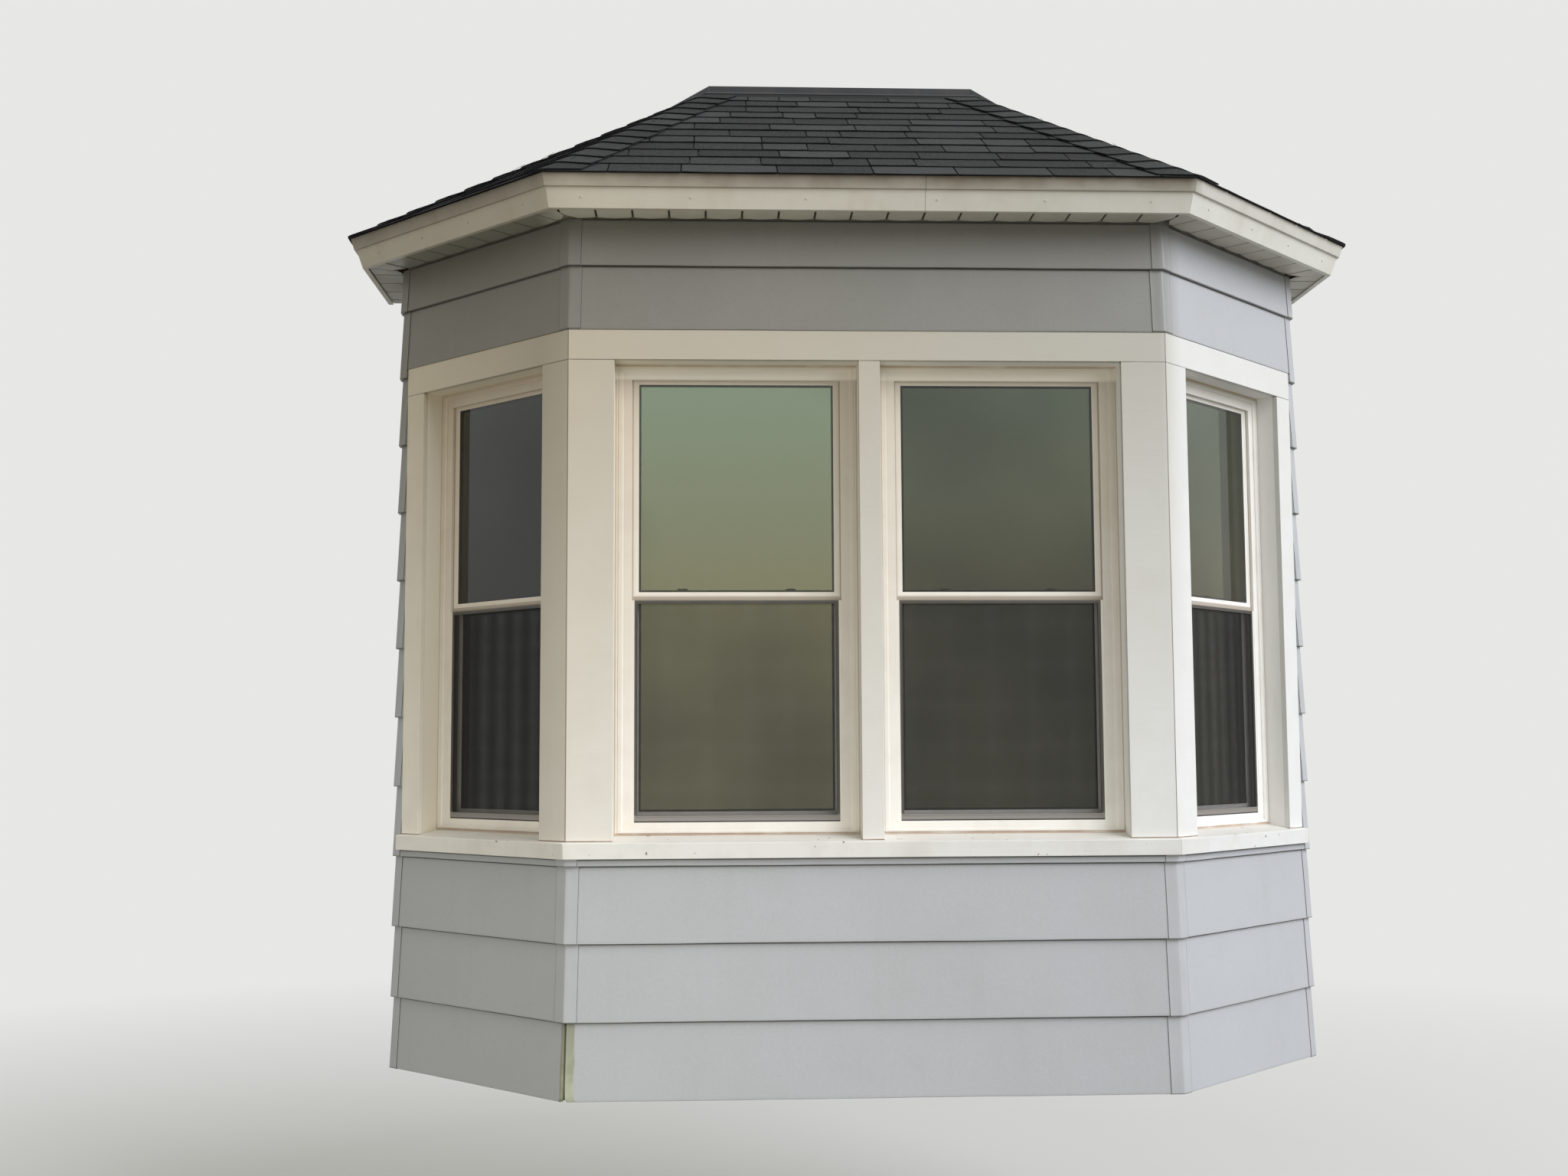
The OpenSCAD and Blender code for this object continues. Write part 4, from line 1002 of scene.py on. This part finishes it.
# The line mark is painted near black as a shadow line under each lap.
overlay(tree, shader, spread(tree, point_mark(tree, "line"), 0.1, 1.0, 0.0, 0.85),
        (0.035, 0.033, 0.028, 1))
peel = maths(tree, "ADD", noise(tree, place, 420.0, 2.0),
             maths(tree, "MULTIPLY", noise(tree, place, 45.0, 2.0), 0.6))
relief(tree, shader, peel, 0.00035)

for name, k in (("front", 0), ("left", -1), ("right", 1), ("return_left", -2),
                ("return_right", 2)):
    if k == 0:
        boards = siding_boards(0, drip_z, sill_z, bare_ends=front_bare)
        boards += siding_boards(0, frieze_z, soffit_z)
    elif k == -1:
        boards = siding_boards(k, drip_z, sill_z, bare_ends=left_bare)
        boards += siding_boards(k, frieze_z, soffit_z)
        boards += siding_boards(k, sill_z, frieze_z, high=cap_w - half_len[1] - 0.001)
    elif k == 1:
        boards = siding_boards(k, drip_z, sill_z)
        boards += siding_boards(k, frieze_z, soffit_z)
        boards += siding_boards(k, sill_z, frieze_z, low=half_len[1] - cap_w + 0.001)
    else:
        boards = siding_boards(k, drip_z, soffit_z)
    board_parts, bare_marks, lap_shadow_marks = zip(*boards)
    piece = make_piece("boards_" + name, board_parts, board_paint,
                       {"bare": np.concatenate(bare_marks),
                        "line": np.concatenate(lap_shadow_marks)}, sharp=50)
    settle(piece, "siding", "siding_" + name)


# Felt behind the open corner
# Black building felt wraps the sheathing. It shows as a dark line where the lowest cap
# of the front left corner is lost.
felt_half, felt_t = 0.03, 0.0004
felt_z = np.array([drip_z + 0.002, drip_z + course_h])
arms = np.linspace(-felt_half, felt_half, 9)


def round_corner(i, w, d, z, radius):
    """Points round corner i: w runs along the left facet to the corner and on along
    the right one, in a hyperbola of the given radius, at distance d and height z."""
    w, d, z = np.broadcast_arrays(*(np.asarray(a, float) for a in (w, d, z)))
    root = np.sqrt(w ** 2 + radius ** 2)
    left_way, right_way = facet_ways(i - 3)[0], facet_ways(i - 2)[0]
    plan = (plan_corner(i, d) + ((root + w) / 2)[..., None] * right_way
            - ((root - w) / 2)[..., None] * left_way)
    return np.concatenate([plan, z[..., None]], -1)


felt = spotted_finish("building felt", 60.0, 3.0, (0.006, 0.006, 0.006, 1),
                      (0.02, 0.018, 0.015, 1), Roughness=0.95)
sheets = [round_corner(2, arms[None, :], sheath_d + t, felt_z[:, None], 0.002)
          for t in (felt_t, 0.0)]
settle(make_piece("corner_felt", [shell(*sheets)], felt), "siding")


# Corner caps
# Each course's corner is covered by a cap of thin sheet metal, folded to the corner,
# turned in under the board's foot and tucked under the next course, painted with the
# siding. The lowest cap of the front left corner is missing.
cap_t, cap_bend, cap_flare = 0.0014, 0.0035, 0.0008


def corner_cap(i, n, z0, z1, seed):
    """One cap on corner i over course n: its section goes in under the foot, round a
    small bend and up the boards' slope, and its flanges lift slightly at the edge."""
    foot_z = drip_z + n * course_h
    start, stop = max(z0, foot_z), min(z1, foot_z + course_h) - 0.0006
    chance = np.random.default_rng(seed)
    wide = cap_w + chance.uniform(-0.003, 0.001, 2)
    w = np.concatenate([-wide[0] * np.array([1, 0.97, 0.6, 0.25, 0.08, 0.03]), [0.0],
                        wide[1] * np.array([0.03, 0.08, 0.25, 0.6, 0.97, 1])])
    face = sheath_d + 2 * board_t - board_t * (start - foot_z) / course_h
    rise = np.linspace(start + 0.0035, stop, 8)
    slope = sheath_d + 2 * board_t - board_t * (rise - foot_z) / course_h
    d = np.concatenate([[face - 0.007, face - 0.002, face + 0.0008, face + cap_t],
                        slope + cap_t])
    z = np.concatenate([[start - cap_t, start - cap_t, start - 0.001, start + 0.0006],
                        rise])
    inward_d = np.concatenate([[face - 0.007, face - 0.003, face - 0.0002, face + 0.0004],
                               slope + 0.0004])
    inward_z = np.concatenate([[start - 0.0003, start - 0.0003, start - 0.0002,
                                start + 0.0006], rise])
    lift = cap_flare * (np.abs(w) / cap_w) ** 6
    outer = round_corner(i, w[None, :], d[:, None] + lift[None, :], z[:, None],
                         cap_bend)
    inner = round_corner(i, w[None, :], inward_d[:, None] + lift[None, :],
                         inward_z[:, None], cap_bend)
    # The rim mark is for painted shadow: full along both flange edges, where they lift off
    # the boards, and partly on the rows turned in under the foot.
    rim = np.zeros(outer.shape[:2])
    rim[:, [0, -1]] = 1.0
    rim[:4] = 0.6
    return shell(outer, inner), np.tile(rim.ravel(), 2)


caps = []
for i in (1, 4):
    caps += [(i, n, drip_z, soffit_z) for n in range(12)]
for i in (2, 3):
    caps += [(i, n, drip_z, sill_z) for n in range(1 if i == 2 else 0, 4)]
    caps += [(i, n, frieze_z + 0.003, soffit_z) for n in (10, 11)]
folded = [corner_cap(i, n, z0, z1, 300 + 20 * i + n) for i, n, z0, z1 in caps]

# The caps take the siding's cover, with its painted light and shade.
cap_paint, tree, shader = new_finish("corner cap paint", Roughness=0.42)
aged = age(tree, use(tree, light_and_shade_cover, siding_cover)["Colour"], (0.26, 0.255, 0.23, 1),
           0.2, 0.4, 0.8)
lay_colour(tree, shader, aged["Colour"])
# Painted shadow along the flange edges and under the foot.
overlay(tree, shader, spread(tree, point_mark(tree, "rim"), 0.1, 0.9),
        (0.045, 0.043, 0.038, 1))
relief(tree, shader, noise(tree, here(tree), 16.0, 2.0), 0.0008)
settle(make_piece("folded_caps", [part for part, _ in folded], cap_paint,
                  {"rim": np.concatenate([rim for _, rim in folded])}, sharp=50),
       "corner_cap", "corner_caps")


# Window casing
# Flat painted boards round the windows: a head board over all of them, corner boards
# mitred on the front corners, a narrow board between the front windows and outer
# boards. Their arrises are eased, and dirt sits in the joints.
def eased(node_name, width, name, material, slot, segments=2):
    """A copy of a frame solid, merged at its corners, with its arrises rounded."""
    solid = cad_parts[node_name]
    work = bmesh.new()
    work.from_mesh(solid.data)
    bmesh.ops.remove_doubles(work, verts=work.verts, dist=0.00002)
    bmesh.ops.dissolve_limit(work, angle_limit=math.radians(0.5), verts=work.verts,
                             edges=work.edges)
    mesh = bpy.data.meshes.new(name)
    work.to_mesh(mesh)
    work.free()
    mesh.materials.append(material)
    piece = placed(name, mesh)
    rounding = piece.modifiers.new("eased arrises", "BEVEL")
    rounding.width = width
    rounding.segments = segments
    rounding.limit_method = "ANGLE"
    rounding.angle_limit = math.radians(20)
    mesh.polygons.foreach_set("use_smooth", np.ones(len(mesh.polygons), bool))
    flatness = piece.modifiers.new("flat faces", "WEIGHTED_NORMAL")
    flatness.weight = 100
    return settle(piece, slot, node_name)


def dark_line_at_height(tree, shader, level, width, line_colour):
    """Darkens a trim finish in a thin broken line at a height, where two boards butt."""
    away = maths(tree, "ABSOLUTE", maths(tree, "SUBTRACT", axis(tree, "Z"), level))
    line = spread(tree, away, width / 2, width, 1.0, 0.0)
    broken = spread(tree, noise(tree, here(tree), 9.0, 4.0), 0.3, 0.55, 0.35, 1.0)
    overlay(tree, shader, maths(tree, "MULTIPLY", line, broken), line_colour)


head_joint_z, casing_foot_z = 2.3930, 0.7300
# The casing's cover is painted warmer on the left than on the right, darker from 0.8 m up
# to 2.4 m, darker on the left facet and lighter toward its outer end, all as painted light
# and shade.
casing_paint, tree, shader = trim_finish(
    "casing paint",
    {"Left Lit Paint": (0.73, 0.685, 0.60, 1), "Right Lit Paint": (0.73, 0.73, 0.715, 1),
     "Left Upper Shade": (0.51, 0.445, 0.335, 1), "Right Upper Shade": (0.46, 0.45, 0.395, 1),
     "Foot": 0.8, "Top": 2.4, "Right Share": 0.3, "Left Shade": 0.89,
     "Left End": 1.50},
    (0.40, 0.33, 0.23, 1), 0.10, 0.5)
dark_line_at_height(tree, shader, head_joint_z, 0.0012, (0.07, 0.055, 0.04, 1))
dark_line_at_height(tree, shader, casing_foot_z, 0.0035, (0.24, 0.15, 0.09, 1))
folded_plan = node(tree, "VectorMath", {0: here(tree)}, operation="ABSOLUTE").outputs[0]
from_corner = node(tree, "VectorMath", {0: folded_plan, 1: (half_front, bay_depth, 0.0)},
                   operation="SUBTRACT").outputs[0]
flat_way = node(tree, "VectorMath", {0: from_corner, 1: (1.0, 1.0, 0.0)},
                operation="MULTIPLY").outputs[0]
away = node(tree, "VectorMath", {0: flat_way}, operation="LENGTH").outputs["Value"]
overlay(tree, shader, spread(tree, away, 0.0016, 0.0030, 0.8, 0.0),
        (0.24, 0.20, 0.14, 1))
for node_name in ("head_casing", "corner_casing_left", "corner_casing_right",
                  "middle_casing", "outer_casings"):
    eased(node_name, 0.0012, node_name.replace("casing", "board"), casing_paint,
          "trim_paint")


# Sill
# A thick painted board with a sloping top runs under all the windows, mitred at the
# front corners, with a short horn past each outer casing.
# The sill's cover changes across the bay and lightens toward the left facet's outer end as
# painted light.
sill_paint, tree, shader = trim_finish(
    "sill paint", {"Left Lit Paint": (0.76, 0.735, 0.67, 1),
                   "Right Lit Paint": (0.70, 0.70, 0.68, 1), "Left End": 1.16},
    (0.30, 0.22, 0.14, 1), 0.2, 0.2)
sill_t = 0.054
nose_z = sill_z + sill_t
dust = maths(tree, "MULTIPLY", spread(tree, axis(tree, "Z"), nose_z, nose_z + 0.002),
             spread(tree, noise(tree, here(tree), 14.0, 4.0), 0.25, 0.7, 0.35, 0.85))
overlay(tree, shader, dust, (0.70, 0.67, 0.61, 1))
chips = spread(tree, noise(tree, here(tree), 42.0, 2.0, 0.4), 0.735, 0.75, 0.0, 0.8)
overlay(tree, shader, chips, (0.16, 0.10, 0.06, 1))
eased("sill", 0.002, "sill_boards", sill_paint, "trim_paint", 3)


# Window frames
# Extruded vinyl frames with welded corners, set 85 mm behind the casing: an outer stop
# with a groove, a flat face that laps the sashes and a deep box inside the wall.
open_z, open_h, recess_y = 0.7445, 1.650, 0.085
corner_board_w, side_board_w, outer_board_w, middle_board_w = 0.160, 0.138, 0.102, 0.075
front_open = half_front - corner_board_w - middle_board_w / 2
front_u = (middle_board_w + front_open) / 2
side_open = side_len - side_board_w - outer_board_w - cap_w
side_u = side_len / 2 - side_board_w - side_open / 2
windows = {"front_left": (0, -front_u, front_open), "front_right": (0, front_u, front_open),
           "left": (-1, side_u, side_open), "right": (1, -side_u, side_open)}
jamb_marks = [0.0, 0.030, 0.045, 0.060]
foot_marks = [0.0, 0.018, 0.030, 0.045]
head_marks = [0.0, 0.022, 0.039, 0.054]


def in_window(name, x, y, z):
    """Points in window coordinates: x across, y in from the casing face, z up."""
    k, u, _ = windows[name]
    return on_facet(k, u + x, -np.asarray(y, float), open_z + np.asarray(z, float))


def picture_frame(name, width, z0, z1, profile, marks):
    """A profile of (inset, depth) carried round a rectangle with mitred corners. The
    insets at the foot and head follow the jamb's by interpolation between marks."""
    inset, y = profile[:, 0], profile[:, 1]
    foot = np.interp(inset, marks[0], marks[1])
    head = np.interp(inset, marks[0], marks[2])
    x = np.stack([inset - width / 2, width / 2 - inset, width / 2 - inset,
                  inset - width / 2])
    z = np.stack([z0 + foot, z0 + foot, z1 - head, z1 - head])
    return hoop(in_window(name, x, y[None, :] + 0 * x, z))


def seam_shade_mark(profile, corners=4):
    """1 at a profile's outermost points, where it meets its neighbour, and 0 inside. It
    marks a dark joint with painted shade in the gap.
    """
    return np.tile(np.where(profile[:, 0] < 0.0006, 1.0, 0.0), corners)


vinyl, tree, shader = new_finish("window vinyl", Roughness=0.36)
# The vinyl's cover changes across the bay as painted light and darkens from 0.95 m up to
# 2.2 m as painted shade.
cover = {"Left Lit Paint": (0.80, 0.75, 0.67, 1), "Right Lit Paint": (0.84, 0.825, 0.78, 1),
         "Left Upper Shade": (0.64, 0.555, 0.44, 1), "Right Upper Shade": (0.64, 0.595, 0.51, 1),
         "Foot": 0.95, "Top": 2.2, "Right Share": 0.3}
aged = age(tree, use(tree, light_and_shade_cover, cover)["Colour"], (0.42, 0.33, 0.23, 1), 0.14, 0.25,
           0.6)
lay_colour(tree, shader, aged["Colour"])
# The seam mark darkens the frame where it meets the reveal and the sashes beside the
# frame's lip: a dark joint with painted shade in the gap.
overlay(tree, shader, spread(tree, point_mark(tree, "seam_shade"), 0.1, 0.95, 0.0, 0.75),
        (0.33, 0.26, 0.19, 1))
# Painted light: the head of the front frames is painted paler where the reveal shades it.
head_foot_z = open_z + open_h - 0.058
in_front = maths(tree, "LESS_THAN", maths(tree, "ABSOLUTE", axis(tree, "X")),
                 half_front - 0.08)
painted_head_light = maths(tree, "MULTIPLY", in_front,
               spread(tree, axis(tree, "Z"), head_foot_z, head_foot_z + 0.012))
overlay(tree, shader, painted_head_light, (0.88, 0.815, 0.70, 1))
# A tan line at the frame's foot and a wider one at its head, partly stain and partly
# painted shade where the frame meets the sill and the reveal's head.
dark_line_at_height(tree, shader, open_z + 0.0035, 0.008, (0.52, 0.40, 0.31, 1))
dark_line_at_height(tree, shader, open_z + open_h, 0.010, (0.60, 0.50, 0.36, 1))
relief(tree, shader, noise(tree, here(tree), 6.0, 2.0), 0.0008)

stop_t, face_t, wall_in = 0.007, 0.012, 0.160
face_y = recess_y + stop_t
frame_profile = fillet(
    [(0.0, recess_y), (0.008, recess_y), (0.009, recess_y + 0.0022),
     (0.0115, recess_y + 0.0022), (0.0125, recess_y), (0.026, recess_y),
     (0.030, recess_y + 0.004), (0.030, face_y), (0.060, face_y),
     (0.060, face_y + face_t), (0.045, face_y + face_t), (0.045, wall_in), (0.0, wall_in)],
    [0.0005, 0.0005, 0.0, 0.0, 0.0005, 0.0012, 0.001, 0.0, 0.0022, 0.0008, 0.0, 0.001,
     0.0005])
track_w, track_in, meeting_foot = 0.009, 0.002, 0.815
track_profile = fillet([(0.0, 0.0), (track_w, 0.0), (track_w, face_t - track_in),
                        (0.0, face_t - track_in)], [0.0, 0.0012, 0.0005, 0.0])
for name in windows:
    width = windows[name][2]
    parts = [picture_frame(name, width, 0.0, open_h, frame_profile,
                           (jamb_marks, foot_marks, head_marks))]
    seam_shades = [seam_shade_mark(frame_profile), np.zeros(4 * len(track_profile))]
    for side in (-1, 1):
        x = side * (width / 2 - jamb_marks[3] - track_profile[:, 0])
        z = np.array([[foot_marks[3] - 0.001], [meeting_foot]])
        parts.append(bar(in_window(name, x[None, :], face_y + track_in
                                   + track_profile[None, :, 1], z)))
    settle(make_piece("vinyl_frame_" + name, parts, vinyl,
                      {"seam_shade": np.concatenate(seam_shades)}), "vinyl", "frame_" + name)


# Sashes
# Two vinyl sashes to each window, one behind the other, with a stepped bead that
# slopes down to the glass. The upper one is outside. Each sash's rails meet at the
# middle and carry the locks.
lap, sash_clear, stile_w, sash_t, pane_t = 0.015, 0.0003, 0.038, 0.024, 0.014
meeting_z, meeting_h = open_h / 2 + 0.005, 0.030
top_rail, bottom_rail = 0.028, 0.050
upper_y = recess_y + stop_t + face_t + sash_clear
lower_y = upper_y + sash_t + sash_clear
glass_in = (sash_t - pane_t) / 2
sash_levels = {
    "upper": (meeting_z - meeting_h / 2, open_h - head_marks[3] + lap - sash_clear,
              upper_y, meeting_h, top_rail),
    "lower": (foot_marks[3] - lap + sash_clear, meeting_z + meeting_h / 2, lower_y,
              bottom_rail, meeting_h)}
for row, (z0, z1, y0, foot, head) in sash_levels.items():
    profile = fillet(
        [(0.0, y0), (0.0170, y0), (0.0200, y0), (0.0255, y0), (0.0265, y0 + 0.0018),
         (0.0305, y0 + 0.0022), (0.0315, y0 + 0.0036), (stile_w, y0 + glass_in),
         (stile_w, y0 + sash_t - glass_in),
         (0.031, y0 + sash_t), (0.0, y0 + sash_t)],
        [0.001, 0.0, 0.0, 0.001, 0.0, 0.0008, 0.0, 0.0, 0.0, 0.001, 0.001])
    # The strip of the sash beside the frame's lip is marked for a dark line of painted
    # shade.
    beside_lip = np.where(profile[:, 0] < 0.0175, 1.0, 0.0)
    for name in windows:
        width = windows[name][2] - 2 * (jamb_marks[3] - lap) - 2 * sash_clear
        rails = picture_frame(name, width, z0, z1, profile,
                              ([0, stile_w], [0, foot], [0, head]))
        settle(make_piece(f"{row}_sash_rails_{name}", [rails], vinyl,
                          {"seam_shade": np.tile(beside_lip, 4)}), "vinyl",
               f"{row}_sash_{name}")


# Glass
# Sealed units of two sheets with a dark spacer between them. They are slightly tinted
# and set against the beads. Their colour also carries painted reflection: it differs
# from pane to pane, is mottled, and turns lighter and greener toward the top.
sheet_t, spacer_w = 0.003, 0.007
# Each pane's tone is painted reflection, lighter or darker from pane to pane.
pane_reflection_tones = {"front_left": (0.88, 0.85), "front_right": (0.42, 0.32),
              "left": (0.0, 0.0), "right": (0.6, 0.42)}
glass_parts, glass_reflection_tones, spacer_parts = [], [], []
spacer_profile = np.array([(0.0, 0.0), (spacer_w, 0.0), (spacer_w, 1.0), (0.0, 1.0)])
for row, (z0, z1, y0, foot, head) in sash_levels.items():
    for name in windows:
        width = windows[name][2] - 2 * (jamb_marks[3] - lap + sash_clear + stile_w)
        low, high = z0 + foot, z1 - head
        for front in (y0 + glass_in, y0 + sash_t - glass_in - sheet_t):
            x = np.array([-1, 1, 1, -1]) * width / 2
            z = np.array([low, low, high, high])
            y = np.array([front, front + sheet_t])
            glass_parts.append(bar(in_window(name, x[None, :], y[:, None], z[None, :])))
            glass_reflection_tones.append(pane_reflection_tones[name][0 if row == "upper" else 1])
        profile = (spacer_profile * (1, pane_t - 2 * sheet_t - 0.0002)
                   + (0, y0 + glass_in + sheet_t + 0.0001))
        spacer_parts.append(picture_frame(name, width, low, high, profile,
                                          ([0, spacer_w],) * 3))

glass, tree, shader = new_finish("window glass", Roughness=0.0, IOR=1.5,
                                 Transmission_Weight=1.0)
tone = point_mark(tree, "tone")
# Painted reflection: mottled, lighter higher up and greener toward the top.
reflection_film = spread(tree, noise(tree, here(tree), 1.1, 2.0), 0.3, 0.7, -0.16, 0.16)
height = axis(tree, "Z")
rising = spread(tree, height, open_z, open_z + open_h, -0.10, 0.16)
reflection_film = maths(tree, "MULTIPLY", maths(tree, "ADD", reflection_film, rising),
             spread(tree, tone, 0.0, 1.0, 0.5, 1.3))
reflected_tinge = blend(tree, spread(tree, height, 1.5, 2.25), (0.49, 0.475, 0.35, 1),
              (0.50, 0.56, 0.46, 1))
lay_colour(tree, shader, blend(tree, maths(tree, "ADD", tone, reflection_film, clamp=True),
                               (0.07, 0.073, 0.062, 1), reflected_tinge))
settle(make_piece("glass_sheets", glass_parts, glass, {"tone": glass_reflection_tones}), "glass",
       "panes")
spacer_finish = spotted_finish("spacer", 30.0, 2.0, (0.12, 0.12, 0.12, 1),
                               (0.2, 0.2, 0.19, 1), Metallic=0.7, Roughness=0.45)
settle(make_piece("spacer_bars", spacer_parts, spacer_finish), "glass")


# Insect screens
# Half screens between the tracks, over the lower sashes: roll-formed bars in a dark
# taupe finish with mitred corners, painted dark as shade on the sides and head and
# paler on the foot for dust and painted light, and dark fibre mesh held by a spline.
screen_bar, screen_foot, screen_head, screen_t = 0.010, 0.022, 0.012, 0.009
mesh_pitch, wire_t = 0.0016, 0.0003
screen_z0 = foot_marks[3] + sash_clear
screen_h = sash_levels["upper"][0] - foot_marks[3] - 2 * sash_clear
screen_y = upper_y - screen_t - sash_clear
bar_profile = fillet([(0.0, 0.0), (0.0055, 0.0), (0.006, 0.0012), (0.0078, 0.0012),
                      (0.0083, 0.0), (0.010, 0.0), (0.010, screen_t), (0.0, screen_t)],
                     [0.0012, 0.0003, 0, 0, 0.0003, 0.0006, 0.0006, 0.0006])
bar_profile = bar_profile + (0, screen_y)
frame_parts, wire_parts = [], []
for name in windows:
    width = windows[name][2] - 2 * (jamb_marks[3] + track_w + sash_clear)
    marks = ([0, screen_bar], [0, screen_foot], [0, screen_head])
    frame_parts.append(picture_frame(name, width, screen_z0, screen_z0 + screen_h,
                                     bar_profile, marks))
    inner_w = width - 2 * screen_bar + 0.004
    low = screen_z0 + screen_foot - 0.002
    high = screen_z0 + screen_h - screen_head + 0.002
    mesh_y = screen_y + screen_t * 0.5
    section = np.array([(-1, -1), (1, -1), (1, 1), (-1, 1)]) * wire_t / 2
    for x in np.arange(-inner_w / 2, inner_w / 2, mesh_pitch):
        wire_parts.append(bar(in_window(name, x + section[None, :, 0],
                                        mesh_y + section[None, :, 1],
                                        np.array([[low], [high]]))))
    for z in np.arange(low, high, mesh_pitch):
        ends = np.array([[-inner_w / 2], [inner_w / 2]])
        wire_parts.append(bar(in_window(name, ends, mesh_y + section[None, :, 1],
                                        z + section[None, :, 0])))

# Painted shade and light: the bars are painted dark for the shade on the sides and head,
# and the foot bar paler for dust and the light that falls on it.
screen_finish, tree, shader = new_finish("screen frame with painted shade", Metallic=0.3,
                                         Roughness=0.45)
aged = age(tree, (0.085, 0.078, 0.068, 1), (0.14, 0.12, 0.09, 1), 0.3, 0.2, 0.3)
lay_colour(tree, shader, aged["Colour"])
height, screen_low = axis(tree, "Z"), open_z + screen_z0
lit_foot_z = screen_low + screen_foot
overlay(tree, shader, spread(tree, height, lit_foot_z, lit_foot_z + 0.004, 1.0, 0.0),
        (0.25, 0.23, 0.21, 1))
# A near-black band along the lowest few millimetres of the foot bar.
dark_foot_edge = spread(tree, height, screen_low + 0.003, screen_low + 0.0045, 1.0, 0.0)
overlay(tree, shader, dark_foot_edge, (0.015, 0.014, 0.013, 1))
settle(make_piece("screen_frames", frame_parts, screen_finish), "screen", "screens")
fibre_finish = spotted_finish("dark fibre mesh", 12.0, 2.0, (0.02, 0.02, 0.02, 1),
                              (0.035, 0.034, 0.032, 1), Roughness=0.7)
settle(make_piece("screen_mesh", wire_parts, fibre_finish), "screen")


# Sash locks
# Small painted cam locks on the meeting rail, two to a front window and one to a side
# window, screwed to the lower sash.
lock_paint, tree, shader = trim_finish(
    "lock paint", {"Left Lit Paint": (0.66, 0.62, 0.54, 1),
                   "Right Lit Paint": (0.66, 0.63, 0.56, 1)},
    (0.30, 0.25, 0.18, 1), 0.15, 0.0)
eased("locks", 0.0018, "cam_locks", lock_paint, "lock", 3)


# Studio
# A plain pale floor under a soft light from the upper right, with a dim sky that is
# brighter overhead. Past the floor's edge the view shows the same pale grey.
backdrop = (0.80, 0.80, 0.79, 1)
floor_z, floor_reach, rim_count = -1.05, 14.0, 64
floor_mesh = bpy.data.meshes.new("studio_floor")
rim_turn = np.linspace(0, 2 * math.pi, rim_count, endpoint=False)
rim = np.column_stack([floor_reach * np.cos(rim_turn), floor_reach * np.sin(rim_turn),
                       np.full(rim_count, floor_z)])
floor_mesh.from_pydata(rim.tolist(), [], [list(range(rim_count))])
studio_floor = placed("studio_floor", floor_mesh)
floor_paint, tree, shader = new_finish("studio floor", Roughness=0.9,
                                       Specular_IOR_Level=0.0)


def seen_directly(tree):
    """1 for rays from the camera, from gloss and through glass, and 0 for the rest."""
    path = node(tree, "LightPath").outputs
    return maths(tree, "MAXIMUM", path["Is Camera Ray"],
                 maths(tree, "MAXIMUM", path["Is Glossy Ray"],
                       path["Is Transmission Ray"]))


seen = seen_directly(tree)
lay_colour(tree, shader, blend(tree, seen, (0.16, 0.155, 0.145, 1),
                               (0.55, 0.55, 0.54, 1)))
glow = node(tree, "Emission", {"Color": backdrop, "Strength": 1.0})
far_off = node(tree, "VectorMath", {0: here(tree)}, operation="LENGTH").outputs["Value"]
fade = spread(tree, far_off, 3.5, 10.0)
floor_mix = node(tree, "MixShader", {0: maths(tree, "MULTIPLY", fade, seen),
                                     1: shader.outputs[0], 2: glow.outputs[0]})
tree.links.new(floor_mix.outputs[0], tree.nodes["Material Output"].inputs["Surface"])
floor_mesh.materials.append(floor_paint)

world = bpy.data.worlds.new("studio")
bpy.context.scene.world = world
world.use_nodes = True
tree = world.node_tree
direction = node(tree, "TexCoord").outputs["Generated"]
skyward = node(tree, "SeparateXYZ", {"Vector": direction}).outputs["Z"]
overhead = spread(tree, skyward, 0.1, 0.9)
sky = blend(tree, overhead, (0.36, 0.35, 0.30, 1), (0.95, 0.95, 0.91, 1))
tree.links.new(blend(tree, seen_directly(tree), sky, backdrop),
               tree.nodes["Background"].inputs["Color"])


def soft_lamp(name, place, aim, width, height, power, colour, cone=180):
    """A rectangular area lamp that points at a place and lights within a cone."""
    data = bpy.data.lights.new(name, "AREA")
    data.shape = "RECTANGLE"
    data.size = width
    data.size_y = height
    data.energy = power
    data.color = colour
    data.spread = math.radians(cone)
    lamp = placed(name, data)
    lamp.location = place
    lamp.rotation_euler = (Vector(aim) - Vector(place)).to_track_quat("-Z", "Y").to_euler()


soft_lamp("key", (18.3, -13.9, 15.0), (0.3, -0.8, 1.6), 20.0, 20.0, 7560.0,
          (0.97, 1.0, 1.08))
soft_lamp("fill", (-2.2, -4.6, -0.45), (-0.8, -1.0, 0.9), 4.5, 0.9, 17.0,
          (1.0, 0.98, 0.90), cone=110)

scene = bpy.context.scene
scene.view_settings.view_transform = "Standard"
